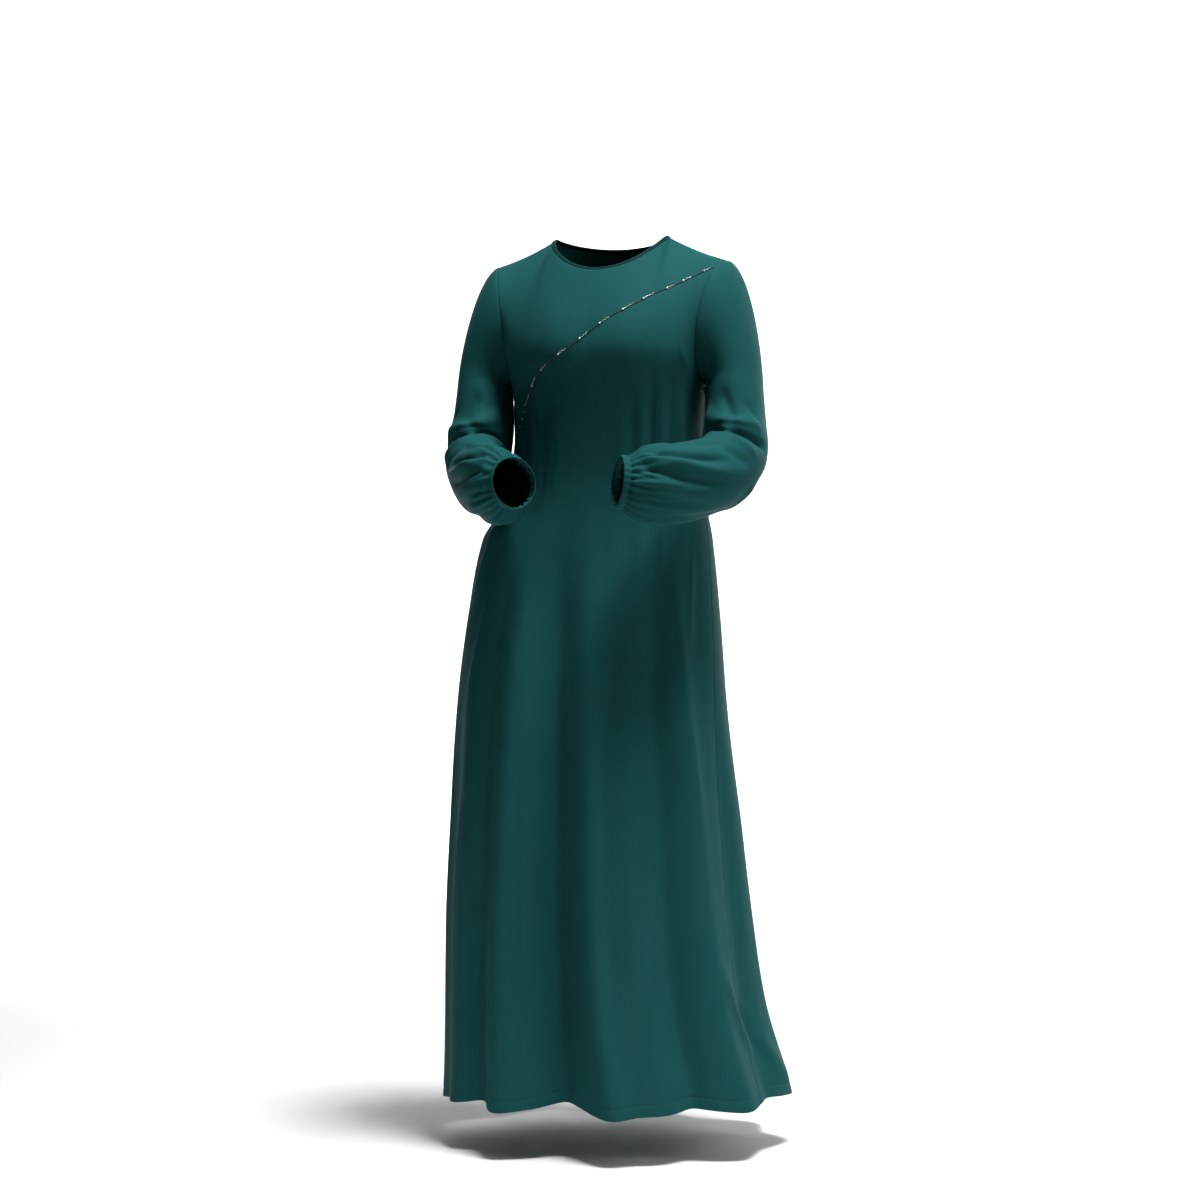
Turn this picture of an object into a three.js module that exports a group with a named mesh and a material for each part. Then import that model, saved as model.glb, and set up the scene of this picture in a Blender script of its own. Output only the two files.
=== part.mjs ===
// Abaya: a loose, ankle-length dress of heavy knit with a curved diagonal front seam,
// set-in sleeves that are full below the elbow, narrow gathered cuffs and a bound round neck.
// It is worn, so every cloth wall keeps the hollow form of the hanging garment.
// Millimetres. The front faces -Y, the wearer's left is +X, +Z is up.
// The origin is the centre of the neck base, where the shoulders carry the garment.

import * as THREE from 'three';

// Cloth and seams
const CLOTH = 1.6; // thickness of the heavy knit
const SEAM_GAP = 0.3; // space between two pieces at a seam
const HEM_TURN = 17; // height of the turned hem
const HEM_STEP = 2; // height over which the turned hem runs out into the single wall
const MITRE_LIMIT = 1.9; // how far a corner may lengthen the wall's half thickness

// Neck and shoulders
const NECK_HALF_WIDTH = 97;
const NECK_FRONT_DROP = 58;
const NECK_BACK_DROP = 13;
const NECK_FRONT_REACH = 95; // how far the neckline lies in front of the shoulder line
const NECK_BACK_REACH = 62;
const NECK_POINT_HEIGHT = 5; // shoulder line at the neck
const NECK_FALL_POWER = 1.5; // above 1 rounds the neckline over the shoulder
const NECK_SHARE = 0.5; // share of the panel's columns that end at the neckline
const SHOULDER_TIP_HALF = 188;
const SHOULDER_TIP_HEIGHT = -33;
const SHOULDER_TIP_BACK = 5;
const SHOULDER_SAG = 3;

// Armhole
const UNDERARM_HEIGHT = -225;
const ARMHOLE_FRONT_DEPTH = 82;
const ARMHOLE_BACK_DEPTH = 70;
const ARMHOLE_SCOOP = 13; // how far the armhole is cut towards the centre at half height

// Chest and back above the underarm
const FRONT_RISE_POWER = 2.4; // how long the chest stays full before it turns to the shoulder
const BACK_RISE_POWER = 2.0;
const INSET_POWER = 1.2;
const ARMHOLE_PULL_START = 0.3; // share of the half panel that the armhole's curve leaves alone
const ARMHOLE_PULL_POWER = 1.6;
const BUST_FULLNESS = 17;
const BUST_PLACE = 0.33;
const BUST_SPREAD = 0.28;
const BUST_RISE_POWER = 0.6; // below 1 puts the fullest line under the middle of the armhole
const TOP_SPREAD = 0.42; // how widely the neck point's corner melts into the cloth below it
const SPREAD_TAPS = [-1, -0.5, 0, 0.5, 1];

// Mesh density
const PANEL_COLUMNS = 32;
const UPPER_ROWS = 16;
const LOWER_ROWS = 14;
const CAP_RINGS = 6;
const TUBE_RINGS = 14;

// Body sections from the hem up. centre: middle of the section along X. halfWidth: half its
// width. front, back: its reach from the shoulder line. leftSeam, rightSeam: degrees by which
// the side seams swing forward of the side.
const SECTION_POWER = 2.2; // roundness of a section: 2 is an ellipse
const SECTIONS = [
  { z: -1400, centre: 5, halfWidth: 279, front: 220, back: 218, leftSeam: 22, rightSeam: 3 },
  { z: -1340, centre: 1, halfWidth: 272, front: 216, back: 214, leftSeam: 21, rightSeam: 3 },
  { z: -1211, centre: -15, halfWidth: 251, front: 205, back: 201, leftSeam: 19, rightSeam: 3 },
  { z: -1051, centre: -25, halfWidth: 239, front: 192, back: 187, leftSeam: 17, rightSeam: 3 },
  { z: -900, centre: -29, halfWidth: 228, front: 178, back: 173, leftSeam: 16, rightSeam: 3 },
  { z: -731, centre: -33, halfWidth: 217, front: 162, back: 155, leftSeam: 14, rightSeam: 3 },
  { z: -600, centre: -30, halfWidth: 204, front: 145, back: 140, leftSeam: 11, rightSeam: 2 },
  { z: -475, centre: -24, halfWidth: 186, front: 129, back: 122, leftSeam: 7, rightSeam: 2 },
  { z: -430, centre: -14, halfWidth: 168, front: 123, back: 114, leftSeam: 5, rightSeam: 2 },
  { z: -379, centre: -6, halfWidth: 154, front: 121, back: 108, leftSeam: 3, rightSeam: 1 },
  { z: -300, centre: -3, halfWidth: 152, front: 130, back: 114, leftSeam: 1, rightSeam: 0 },
  { z: -225, centre: -2, halfWidth: 156, front: 145, back: 122, leftSeam: 0, rightSeam: 0 },
];

// Height of the hem round the garment. angle: degrees from the centre front to the wearer's left.
const HEM = [
  { angle: -180, z: -1370 },
  { angle: -90, z: -1370 },
  { angle: -40, z: -1354 },
  { angle: 0, z: -1354 },
  { angle: 50, z: -1353 },
  { angle: 90, z: -1350 },
  { angle: 140, z: -1358 },
  { angle: 180, z: -1370 },
];

// Folds of the skirt. head, foot: degrees round the body where the fold starts and where it meets
// the hem. top: height where it starts. width: half its width at the hem in degrees.
// depth: how far it stands out of the plain form at the hem, negative for a hollow.
const FOLDS = [
  { head: -20, foot: -24, top: -430, width: 8, depth: 17 },
  { head: -44, foot: -47, top: -440, width: 9, depth: 11 },
  { head: -33, foot: -36, top: -520, width: 6, depth: -9 },
  { head: -62, foot: -64, top: -560, width: 9, depth: -8 },
  { head: -4, foot: -5, top: -400, width: 8, depth: -30 },
  { head: 4, foot: 7, top: -520, width: 6, depth: 12 },
  { head: 18, foot: 21, top: -420, width: 13, depth: 9 },
  { head: 40, foot: 38, top: -470, width: 7, depth: -13 },
  { head: 48, foot: 60, top: -360, width: 8, depth: 12 },
  { head: 74, foot: 79, top: -620, width: 7, depth: -9 },
  { head: 92, foot: 99, top: -700, width: 10, depth: 12 },
  { head: 112, foot: 119, top: -560, width: 10, depth: -15 },
  { head: 134, foot: 138, top: -450, width: 10, depth: 16 },
  { head: 152, foot: 156, top: -520, width: 8, depth: -13 },
  { head: 172, foot: 176, top: -430, width: 10, depth: 15 },
  { head: -170, foot: -166, top: -560, width: 7, depth: -14 },
  { head: -150, foot: -147, top: -440, width: 10, depth: 17 },
  { head: -128, foot: -126, top: -540, width: 9, depth: -14 },
  { head: -104, foot: -103, top: -600, width: 10, depth: 11 },
];
const FOLD_RUN_IN = 260; // height over which a fold grows out of the plain cloth
const FOLD_HEAD_SHARE = 0.35; // a fold's depth near its head, as a share of its depth at the hem
const HEM_LIFT = 0.22; // how much a hollow lifts the hem, as a share of its depth

// The diagonal seam on the front, from the wearer's right side to the top of the left armhole
const DIAGONAL_SIDE_HEIGHT = -418;
const DIAGONAL_ARMHOLE_HEIGHT = -48;
const DIAGONAL = [
  { x: -143, z: -318 },
  { x: -127, z: -294 },
  { x: -114, z: -266 },
  { x: -101, z: -243 },
  { x: -93, z: -226 },
  { x: -80, z: -213 },
  { x: -55, z: -195 },
  { x: -26, z: -176 },
  { x: 1, z: -156 },
  { x: 31, z: -134 },
  { x: 62, z: -115 },
  { x: 100, z: -91 },
  { x: 139, z: -69 },
];
const SNAP_SHARE = 0.18; // a seam point this near a row, in rows, moves onto the row

// Sleeves below the cap. x, y, z: middle of the tube. across: half its width from the inner to the
// outer side. depth: half its other width.
const SLEEVE_LEFT = [
  { x: 206, y: -14, z: -240, across: 42, depth: 64 },
  { x: 210, y: -28, z: -288, across: 45, depth: 61 },
  { x: 214, y: -49, z: -330, across: 49, depth: 59 },
  { x: 211, y: -78, z: -357, across: 51, depth: 56 },
  { x: 197, y: -114, z: -374, across: 52, depth: 58 },
  { x: 172, y: -151, z: -387, across: 53, depth: 61 },
  { x: 145, y: -181, z: -394, across: 55, depth: 62 },
  { x: 119, y: -202, z: -396, across: 54, depth: 60 },
  { x: 96, y: -217, z: -395, across: 47, depth: 52 },
  { x: 80, y: -226, z: -393, across: 37, depth: 39 },
];
const SLEEVE_RIGHT = [
  { x: -208, y: -14, z: -240, across: 42, depth: 64 },
  { x: -207, y: -28, z: -288, across: 46, depth: 61 },
  { x: -208, y: -49, z: -329, across: 48, depth: 58 },
  { x: -202, y: -77, z: -354, across: 49, depth: 55 },
  { x: -188, y: -111, z: -371, across: 48, depth: 57 },
  { x: -167, y: -148, z: -385, across: 50, depth: 60 },
  { x: -146, y: -180, z: -392, across: 53, depth: 62 },
  { x: -127, y: -204, z: -395, across: 53, depth: 60 },
  { x: -111, y: -222, z: -394, across: 47, depth: 52 },
  { x: -99, y: -234, z: -393, across: 37, depth: 39 },
];
const CAP_LEAVE_LOW = 1.2; // how strongly the cap leaves the armhole at the underarm
const CAP_LEAVE_TOP = 0.55; // and at the shoulder
const CAP_ARRIVE = 0.9;
const CAP_SLOPE = 0.3; // fall of the cap as it leaves the armhole
const GATHERS = 16; // gathers round each cuff
const GATHER_DEPTH = 1.7;
const GATHER_START = 0.72; // share of the sleeve below the cap where the gathers begin
const CUFF_WIDTH = 12;
const CUFF_SWELL = 1.6; // how far the middle of the cuff stands out

// Creases of the sleeves. from, to: places along the sleeve below the cap, 0 to 1. fromTurn,
// toTurn: degrees round the sleeve, 0 inner side, 90 front or top, 180 outer side.
// width: half width in degrees. depth: height over the plain form, negative for a hollow.
const SLEEVE_FOLDS = [
  { from: 0.14, to: 0.36, fromTurn: 40, toTurn: 170, width: 16, depth: -9 },
  { from: 0.3, to: 0.5, fromTurn: 70, toTurn: 165, width: 15, depth: 6 },
  { from: 0.42, to: 0.95, fromTurn: 130, toTurn: 80, width: 14, depth: -7 },
  { from: 0.5, to: 0.97, fromTurn: 175, toTurn: 128, width: 13, depth: -6 },
  { from: 0.45, to: 0.96, fromTurn: 240, toTurn: 205, width: 15, depth: -7 },
  { from: 0.4, to: 0.95, fromTurn: 290, toTurn: 300, width: 15, depth: -6 },
];

// Neck binding and seam cord
const BINDING_WIDTH = 7;
const BINDING_SETBACK = 0.5; // a little more room, because its thick wall turns at the neck point
const BINDING_THICKNESS = 2.4; // the strip is folded over the panels' edge
const BINDING_RINGS = 2;
const BINDING_SLOPE = 0.6; // rise of the binding towards the neck
const CORD_RADIUS = 1.2;
const CORD_SIDES = 6;
const CORD_END_SETBACK = 4;

// Looks of the bare solids
const FABRIC = { color: 0x18403e, roughness: 0.7, metalness: 0 };
const BINDING_FABRIC = { color: 0x0f2c2c, roughness: 0.75, metalness: 0 };
const CORD_FINISH = { color: 0x5d6b70, roughness: 0.5, metalness: 0.3 };

const FRONT = 'front';
const BACK = 'back';
const LEFT = 1;
const RIGHT = -1;
const KEY_SCALE = 1000;

function mix(a, b, share) {
  return a + (b - a) * share;
}

function clamp01(value) {
  return Math.min(Math.max(value, 0), 1);
}

function smoothStep(value) {
  const u = clamp01(value);
  return u * u * (3 - 2 * u);
}

function bell(offset, halfWidth) {
  const u = offset / halfWidth;
  return Math.exp(-u * u);
}

function signedPower(value, power) {
  return Math.sign(value) * Math.abs(value) ** power;
}

// Smooth curve through one column of a table whose rows rise in the key column
function curveOf(rows, key, column) {
  const last = rows.length - 1;
  const slope = (i) => {
    const before = rows[Math.max(i - 1, 0)];
    const after = rows[Math.min(i + 1, last)];
    return (after[column] - before[column]) / (after[key] - before[key]);
  };
  return (at) => {
    const place = Math.min(Math.max(at, rows[0][key]), rows[last][key]);
    let i = 0;
    while (i < last - 1 && place > rows[i + 1][key]) {
      i += 1;
    }
    const span = rows[i + 1][key] - rows[i][key];
    const u = (place - rows[i][key]) / span;
    const rise = u * u * (3 - 2 * u);
    const leave = u * (1 - u) * (1 - u) * span * slope(i);
    const arrive = u * u * (1 - u) * span * slope(i + 1);
    return mix(rows[i][column], rows[i + 1][column], rise) + leave - arrive;
  };
}

const section = {};
for (const column of ['centre', 'halfWidth', 'front', 'back', 'leftSeam', 'rightSeam']) {
  section[column] = curveOf(SECTIONS, 'z', column);
}
const plainHem = curveOf(HEM, 'angle', 'z');

function angleApart(a, b) {
  return ((a - b + 540) % 360) - 180;
}

// How far the folds move the cloth outwards at an angle and height of the skirt
function foldDepth(angle, z) {
  let sum = 0;
  for (const fold of FOLDS) {
    const run = clamp01((fold.top - z) / (fold.top - plainHem(0)));
    const grow = smoothStep((fold.top - z) / FOLD_RUN_IN) * mix(FOLD_HEAD_SHARE, 1, run);
    const middle = mix(fold.head, fold.foot, run);
    sum += fold.depth * grow * bell(angleApart(angle, middle), fold.width);
  }
  return sum;
}

// A point of the body below the underarm. angle: degrees from centre front to the wearer's left
function bodyPoint(angle, z) {
  const turn = THREE.MathUtils.degToRad(angle);
  const reach = Math.cos(turn) > 0 ? section.front(z) : section.back(z);
  const halfWidth = section.halfWidth(z);
  const outX = Math.sin(turn) / halfWidth;
  const outY = -Math.cos(turn) / reach;
  const move = foldDepth(angle, z) / Math.hypot(outX, outY);
  const power = 2 / SECTION_POWER;
  return new THREE.Vector3(
    section.centre(z) + halfWidth * signedPower(Math.sin(turn), power) + outX * move,
    -reach * signedPower(Math.cos(turn), power) + outY * move,
    z,
  );
}

function hemHeight(angle) {
  const plain = plainHem(((angle + 540) % 360) - 180);
  return plain - HEM_LIFT * foldDepth(angle, plain);
}

// Degrees round the body of a panel's column. across: -1 at the right seam, 1 at the left seam
function columnAngle(panel, across, z) {
  const left = 90 - section.leftSeam(z);
  const right = -90 + section.rightSeam(z);
  if (panel === FRONT) {
    return mix(right, left, (across + 1) / 2);
  }
  return mix(right + 360, left, (across + 1) / 2);
}

// A point of an armhole. turn: radians, 0 at the underarm, a half turn at the shoulder tip
function armholePoint(side, panel, turn) {
  const rise = (1 - Math.cos(turn)) / 2;
  const underarm = bodyPoint(side * 90, UNDERARM_HEIGHT);
  const depth = panel === FRONT ? -ARMHOLE_FRONT_DEPTH : ARMHOLE_BACK_DEPTH;
  const scoop = ARMHOLE_SCOOP * Math.sin(turn);
  return new THREE.Vector3(
    mix(underarm.x, side * SHOULDER_TIP_HALF, rise) - side * scoop,
    depth * Math.sin(turn) + SHOULDER_TIP_BACK * rise,
    mix(UNDERARM_HEIGHT, SHOULDER_TIP_HEIGHT, rise),
  );
}

// Upper edge of a panel: the neckline, then the shoulder seam
function topPoint(panel, across) {
  const side = Math.sign(across);
  const share = Math.abs(across);
  if (share >= NECK_SHARE) {
    const u = (share - NECK_SHARE) / (1 - NECK_SHARE);
    return new THREE.Vector3(
      side * mix(NECK_HALF_WIDTH, SHOULDER_TIP_HALF, u),
      SHOULDER_TIP_BACK * u,
      mix(NECK_POINT_HEIGHT, SHOULDER_TIP_HEIGHT, u) - SHOULDER_SAG * Math.sin(Math.PI * u),
    );
  }
  const turn = (share / NECK_SHARE) * (Math.PI / 2);
  const reach = panel === FRONT ? -NECK_FRONT_REACH : NECK_BACK_REACH;
  const drop = panel === FRONT ? NECK_FRONT_DROP : NECK_BACK_DROP;
  return new THREE.Vector3(
    side * NECK_HALF_WIDTH * Math.sin(turn),
    reach * Math.cos(turn),
    NECK_POINT_HEIGHT - drop * Math.cos(turn) ** NECK_FALL_POWER,
  );
}

// A panel above the underarm, before the armhole's curve is added
function plainUpperPoint(panel, across, rise) {
  const angle = columnAngle(panel, across, UNDERARM_HEIGHT);
  const foot = bodyPoint(angle, UNDERARM_HEIGHT);
  const slope = foot.clone().sub(bodyPoint(angle, UNDERARM_HEIGHT - 1));
  const top = new THREE.Vector3();
  for (const tap of SPREAD_TAPS) {
    const shift = tap * TOP_SPREAD * (1 - rise) * (1 - Math.abs(across));
    top.addScaledVector(topPoint(panel, across + shift), 1 / SPREAD_TAPS.length);
  }
  const power = panel === FRONT ? FRONT_RISE_POWER : BACK_RISE_POWER;
  const carry = rise * (1 - rise) ** 3 * (top.z - foot.z);
  return new THREE.Vector3(
    mix(foot.x, top.x, rise ** INSET_POWER) + slope.x * carry,
    mix(foot.y, top.y, rise ** power) + slope.y * carry,
    mix(foot.z, top.z, rise),
  );
}

// A point of the front or back. level: 0 at the hem, 1 at the underarm, 2 at the top edge
function panelPoint(panel, across, level) {
  if (level <= 1) {
    const guess = columnAngle(panel, across, plainHem(0));
    const z = mix(hemHeight(guess), UNDERARM_HEIGHT, level);
    return bodyPoint(columnAngle(panel, across, z), z);
  }
  const turn = Math.PI * (level - 1);
  const rise = (1 - Math.cos(turn)) / 2;
  const point = plainUpperPoint(panel, across, rise);
  const side = across < 0 ? RIGHT : LEFT;
  const share = Math.abs(across);
  const edge = armholePoint(side, panel, turn);
  edge.sub(plainUpperPoint(panel, side, rise));
  const pull = clamp01((share - ARMHOLE_PULL_START) / (1 - ARMHOLE_PULL_START));
  point.addScaledVector(edge, pull ** ARMHOLE_PULL_POWER);
  if (panel === FRONT) {
    const hill = Math.sin(Math.PI * rise ** BUST_RISE_POWER) ** 2;
    point.y -= BUST_FULLNESS * hill * (1 - share) * bell(share - BUST_PLACE, BUST_SPREAD);
  }
  return point;
}

// Level of a panel at a column and height
function levelAt(panel, across, z) {
  if (z < UNDERARM_HEIGHT) {
    const foot = hemHeight(columnAngle(panel, across, plainHem(0)));
    return (z - foot) / (UNDERARM_HEIGHT - foot);
  }
  let low = 1;
  let high = 2;
  while (high - low > 1e-5) {
    const middle = (low + high) / 2;
    if (panelPoint(panel, across, middle).z < z) {
      low = middle;
    } else {
      high = middle;
    }
  }
  return (low + high) / 2;
}

// Column of the front where the cloth passes a given x at a given height
function acrossAt(x, z) {
  let low = -1;
  let high = 1;
  while (high - low > 1e-4) {
    const middle = (low + high) / 2;
    const here = panelPoint(FRONT, middle, levelAt(FRONT, middle, z));
    if (here.x < x) {
      low = middle;
    } else {
      high = middle;
    }
  }
  return (low + high) / 2;
}

function range(count) {
  return Array.from({ length: count }, (unused, i) => i);
}

const COLUMNS = range(PANEL_COLUMNS + 1).map((i) => (2 * i) / PANEL_COLUMNS - 1);
const HEM_RISE = UNDERARM_HEIGHT - plainHem(0);
const LEVELS = [0, (HEM_TURN - HEM_STEP) / HEM_RISE, HEM_TURN / HEM_RISE];
for (const i of range(LOWER_ROWS)) {
  LEVELS.push(mix(HEM_TURN / HEM_RISE, 1, (i + 1) / LOWER_ROWS));
}
for (const i of range(UPPER_ROWS)) {
  LEVELS.push(1 + (i + 1) / UPPER_ROWS);
}

// Level of the diagonal seam at each column of the front, moved onto a row where it is near one
function diagonalLevels() {
  const rows = DIAGONAL.map((row) => ({ across: acrossAt(row.x, row.z), z: row.z }));
  rows.unshift({ across: -1, z: DIAGONAL_SIDE_HEIGHT });
  rows.push({ across: 1, z: DIAGONAL_ARMHOLE_HEIGHT });
  const heightAt = curveOf(rows, 'across', 'z');
  return COLUMNS.map((across, i) => {
    const level = levelAt(FRONT, across, heightAt(across));
    const atEnd = i === 0 || i === PANEL_COLUMNS;
    const reach = atEnd ? 1 : SNAP_SHARE;
    let nearest = level;
    for (const k of range(LEVELS.length - 1)) {
      const rowHeight = LEVELS[k + 1] - LEVELS[k];
      for (const row of [LEVELS[k], LEVELS[k + 1]]) {
        const isNear = Math.abs(row - level) < reach * rowHeight;
        const isNearer = nearest === level || Math.abs(row - level) < Math.abs(nearest - level);
        if (isNear && isNearer) {
          nearest = row;
        }
      }
    }
    return nearest;
  });
}

// A sheet is a list of triangles, each of three corners { point, hem } with outward winding
function corner(point, hem = 0) {
  return { point, hem };
}

function addPolygon(sheet, corners, flip) {
  for (const i of range(corners.length - 2)) {
    const triangle = [corners[0], corners[i + 1], corners[i + 2]];
    sheet.push(flip ? triangle.reverse() : triangle);
  }
}

// Keeps the part of a polygon of { across, level } corners on one side of the seam's line
function clipPolygon(polygon, lineAt, sign) {
  const kept = [];
  for (const i of range(polygon.length)) {
    const here = polygon[i];
    const next = polygon[(i + 1) % polygon.length];
    const a = sign * (here.level - lineAt(here.across));
    const b = sign * (next.level - lineAt(next.across));
    if (a >= -1e-9) {
      kept.push(here);
    }
    if ((a > 1e-9 && b < -1e-9) || (a < -1e-9 && b > 1e-9)) {
      const share = a / (a - b);
      kept.push({
        across: mix(here.across, next.across, share),
        level: mix(here.level, next.level, share),
      });
    }
  }
  return kept;
}

function panelCorner(panel, spot) {
  const hem = spot.level <= (HEM_TURN - HEM_STEP / 2) / HEM_RISE ? 1 : 0;
  return corner(panelPoint(panel, spot.across, spot.level), hem);
}

// The sheet of a panel. sign: 1 keeps what lies above the seam, -1 what lies below, 0 the whole
function panelSheet(panel, seamLevels, sign) {
  const sheet = [];
  for (const i of range(PANEL_COLUMNS)) {
    const lineAt = (across) => {
      const share = (across - COLUMNS[i]) / (COLUMNS[i + 1] - COLUMNS[i]);
      return mix(seamLevels[i], seamLevels[i + 1], share);
    };
    for (const k of range(LEVELS.length - 1)) {
      let polygon = [
        { across: COLUMNS[i], level: LEVELS[k] },
        { across: COLUMNS[i + 1], level: LEVELS[k] },
        { across: COLUMNS[i + 1], level: LEVELS[k + 1] },
        { across: COLUMNS[i], level: LEVELS[k + 1] },
      ];
      if (sign !== 0) {
        polygon = clipPolygon(polygon, lineAt, sign);
      }
      if (polygon.length >= 3) {
        const corners = polygon.map((spot) => panelCorner(panel, spot));
        addPolygon(sheet, corners, panel === BACK);
      }
    }
  }
  return sheet;
}

// Rings of points joined into a sheet
function ringSheet(rings, flip) {
  const sheet = [];
  for (const k of range(rings.length - 1)) {
    const count = rings[k].length;
    for (const i of range(count)) {
      const j = (i + 1) % count;
      const corners = [rings[k][i], rings[k][j], rings[k + 1][j], rings[k + 1][i]];
      addPolygon(sheet, corners.map((point) => corner(point)), flip);
    }
  }
  return sheet;
}

// The ring of points where a sleeve is sewn to the panels
function armholeRing(side) {
  const count = 2 * UPPER_ROWS;
  return range(count).map((i) => {
    if (i <= UPPER_ROWS) {
      return armholePoint(side, FRONT, (Math.PI * i) / UPPER_ROWS);
    }
    return armholePoint(side, BACK, (Math.PI * (count - i)) / UPPER_ROWS);
  });
}

function sleeveFoldDepth(place, turn) {
  let sum = 0;
  for (const fold of SLEEVE_FOLDS) {
    const u = clamp01((place - fold.from) / (fold.to - fold.from));
    const ends = bell(place - mix(fold.from, fold.to, u), 0.05);
    const inside = Math.sin(Math.PI * clamp01(0.1 + 0.8 * u));
    const middle = mix(fold.fromTurn, fold.toTurn, u);
    sum += fold.depth * ends * inside * bell(angleApart(turn, middle), fold.width);
  }
  return sum;
}

// Rings of a sleeve below its cap, each with its centre and direction, and the cuff's rings
function tubeRings(side, stations) {
  const path = new THREE.CatmullRomCurve3(
    stations.map((row) => new THREE.Vector3(row.x, row.y, row.z)),
    false,
    'centripetal',
  );
  const rows = stations.map((row, i) => ({ ...row, place: i / (stations.length - 1) }));
  const across = curveOf(rows, 'place', 'across');
  const depth = curveOf(rows, 'place', 'depth');
  const count = 2 * UPPER_ROWS;
  let outward = new THREE.Vector3(side, 0, 0);
  const rings = [];
  const directions = [];
  const ringAt = (centre, direction, halfAcross, halfDepth, place) => {
    outward.addScaledVector(direction, -outward.dot(direction)).normalize();
    const back = new THREE.Vector3().crossVectors(outward, direction).multiplyScalar(side);
    return range(count).map((i) => {
      const turn = (2 * Math.PI * i) / count;
      const gather = smoothStep((place - GATHER_START) / (1 - GATHER_START));
      const pleat = GATHER_DEPTH * gather * Math.cos(GATHERS * turn);
      const swell = pleat + sleeveFoldDepth(place, THREE.MathUtils.radToDeg(turn));
      const point = centre.clone();
      point.addScaledVector(outward, -(halfAcross + swell) * Math.cos(turn));
      point.addScaledVector(back, -(halfDepth + swell) * Math.sin(turn));
      return point;
    });
  };
  for (const k of range(TUBE_RINGS + 1)) {
    const place = k / TUBE_RINGS;
    const direction = path.getTangent(place);
    rings.push(ringAt(path.getPoint(place), direction, across(place), depth(place), place));
    directions.push(direction);
  }
  const last = path.getPoint(1);
  const ahead = path.getTangent(1);
  const cuff = [rings[TUBE_RINGS]];
  for (const share of [0.5, 1]) {
    const centre = last.clone().addScaledVector(ahead, CUFF_WIDTH * share);
    const swell = CUFF_SWELL * Math.sin(Math.PI * share);
    cuff.push(ringAt(centre, ahead, across(1) + swell, depth(1) + swell, 1));
  }
  return { rings, cuff, start: directions[0] };
}

// Rings of the cap, from the armhole to the first ring of the tube
function capRings(side, armhole, first, arriveDirection) {
  const rings = [];
  for (const k of range(CAP_RINGS)) {
    const u = k / CAP_RINGS;
    const ring = armhole.map((from, i) => {
      const to = first[i];
      const length = from.distanceTo(to);
      const height = (1 - Math.cos((2 * Math.PI * i) / armhole.length)) / 2;
      const strength = mix(CAP_LEAVE_LOW, CAP_LEAVE_TOP, height) * length;
      const leave = new THREE.Vector3(side, 0, -CAP_SLOPE).normalize();
      const rise = u * u * (3 - 2 * u);
      const point = from.clone().lerp(to, rise);
      point.addScaledVector(leave, strength * u * (1 - u) * (1 - u));
      point.addScaledVector(arriveDirection, -CAP_ARRIVE * length * u * u * (1 - u));
      return point;
    });
    rings.push(ring);
  }
  return rings;
}

function sleeveSheets(side, stations) {
  const tube = tubeRings(side, stations);
  const cap = capRings(side, armholeRing(side), tube.rings[0], tube.start);
  const flip = side === LEFT;
  return {
    sleeve: ringSheet([...cap, ...tube.rings], flip),
    cuff: ringSheet(tube.cuff, flip),
  };
}

function keyOf(point) {
  const round = (value) => Math.round(value * KEY_SCALE);
  return `${round(point.x)},${round(point.y)},${round(point.z)}`;
}

function addTo(map, key, vector) {
  if (!map.has(key)) {
    map.set(key, new THREE.Vector3());
  }
  map.get(key).add(vector);
}

function faceNormal(triangle) {
  const [a, b, c] = triangle.map((item) => item.point);
  const ab = b.clone().sub(a);
  const ac = c.clone().sub(a);
  return ab.cross(ac);
}

// Sum of the face directions round each point of a sheet, weighted by the corner's angle
function gatherNormals(sheet, map) {
  for (const triangle of sheet) {
    const normal = faceNormal(triangle).normalize();
    for (const i of range(3)) {
      const here = triangle[i].point;
      const toNext = triangle[(i + 1) % 3].point.clone().sub(here);
      const toLast = triangle[(i + 2) % 3].point.clone().sub(here);
      addTo(map, keyOf(here), normal.clone().multiplyScalar(toNext.angleTo(toLast)));
    }
  }
}

// Edges of a sheet that have a triangle on one side only
function openEdges(sheet) {
  const edges = new Map();
  for (const triangle of sheet) {
    for (const i of range(3)) {
      const from = triangle[i];
      const to = triangle[(i + 1) % 3];
      const back = `${keyOf(to.point)}|${keyOf(from.point)}`;
      if (edges.has(back)) {
        edges.delete(back);
      } else {
        edges.set(`${keyOf(from.point)}|${keyOf(to.point)}`, { from, to, triangle });
      }
    }
  }
  return [...edges.values()];
}

// Steps that move a sheet's open edges back by a distance
function edgeSetbacks(edges, distance) {
  const inward = new Map();
  for (const edge of edges) {
    const along = edge.to.point.clone().sub(edge.from.point).normalize();
    const step = faceNormal(edge.triangle).normalize().cross(along);
    for (const end of [edge.from, edge.to]) {
      const key = keyOf(end.point);
      inward.set(key, [...(inward.get(key) || []), step]);
    }
  }
  const setbacks = new Map();
  for (const [key, steps] of inward) {
    const sum = steps[0].clone().add(steps[steps.length - 1]);
    const share = 1 + steps[0].dot(steps[steps.length - 1]);
    setbacks.set(key, sum.multiplyScalar(distance / Math.max(share, 0.5)));
  }
  return setbacks;
}

function geometryOf(positions) {
  const geometry = new THREE.BufferGeometry();
  geometry.setAttribute('position', new THREE.Float32BufferAttribute(positions, 3));
  geometry.computeVertexNormals();
  return geometry;
}

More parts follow.
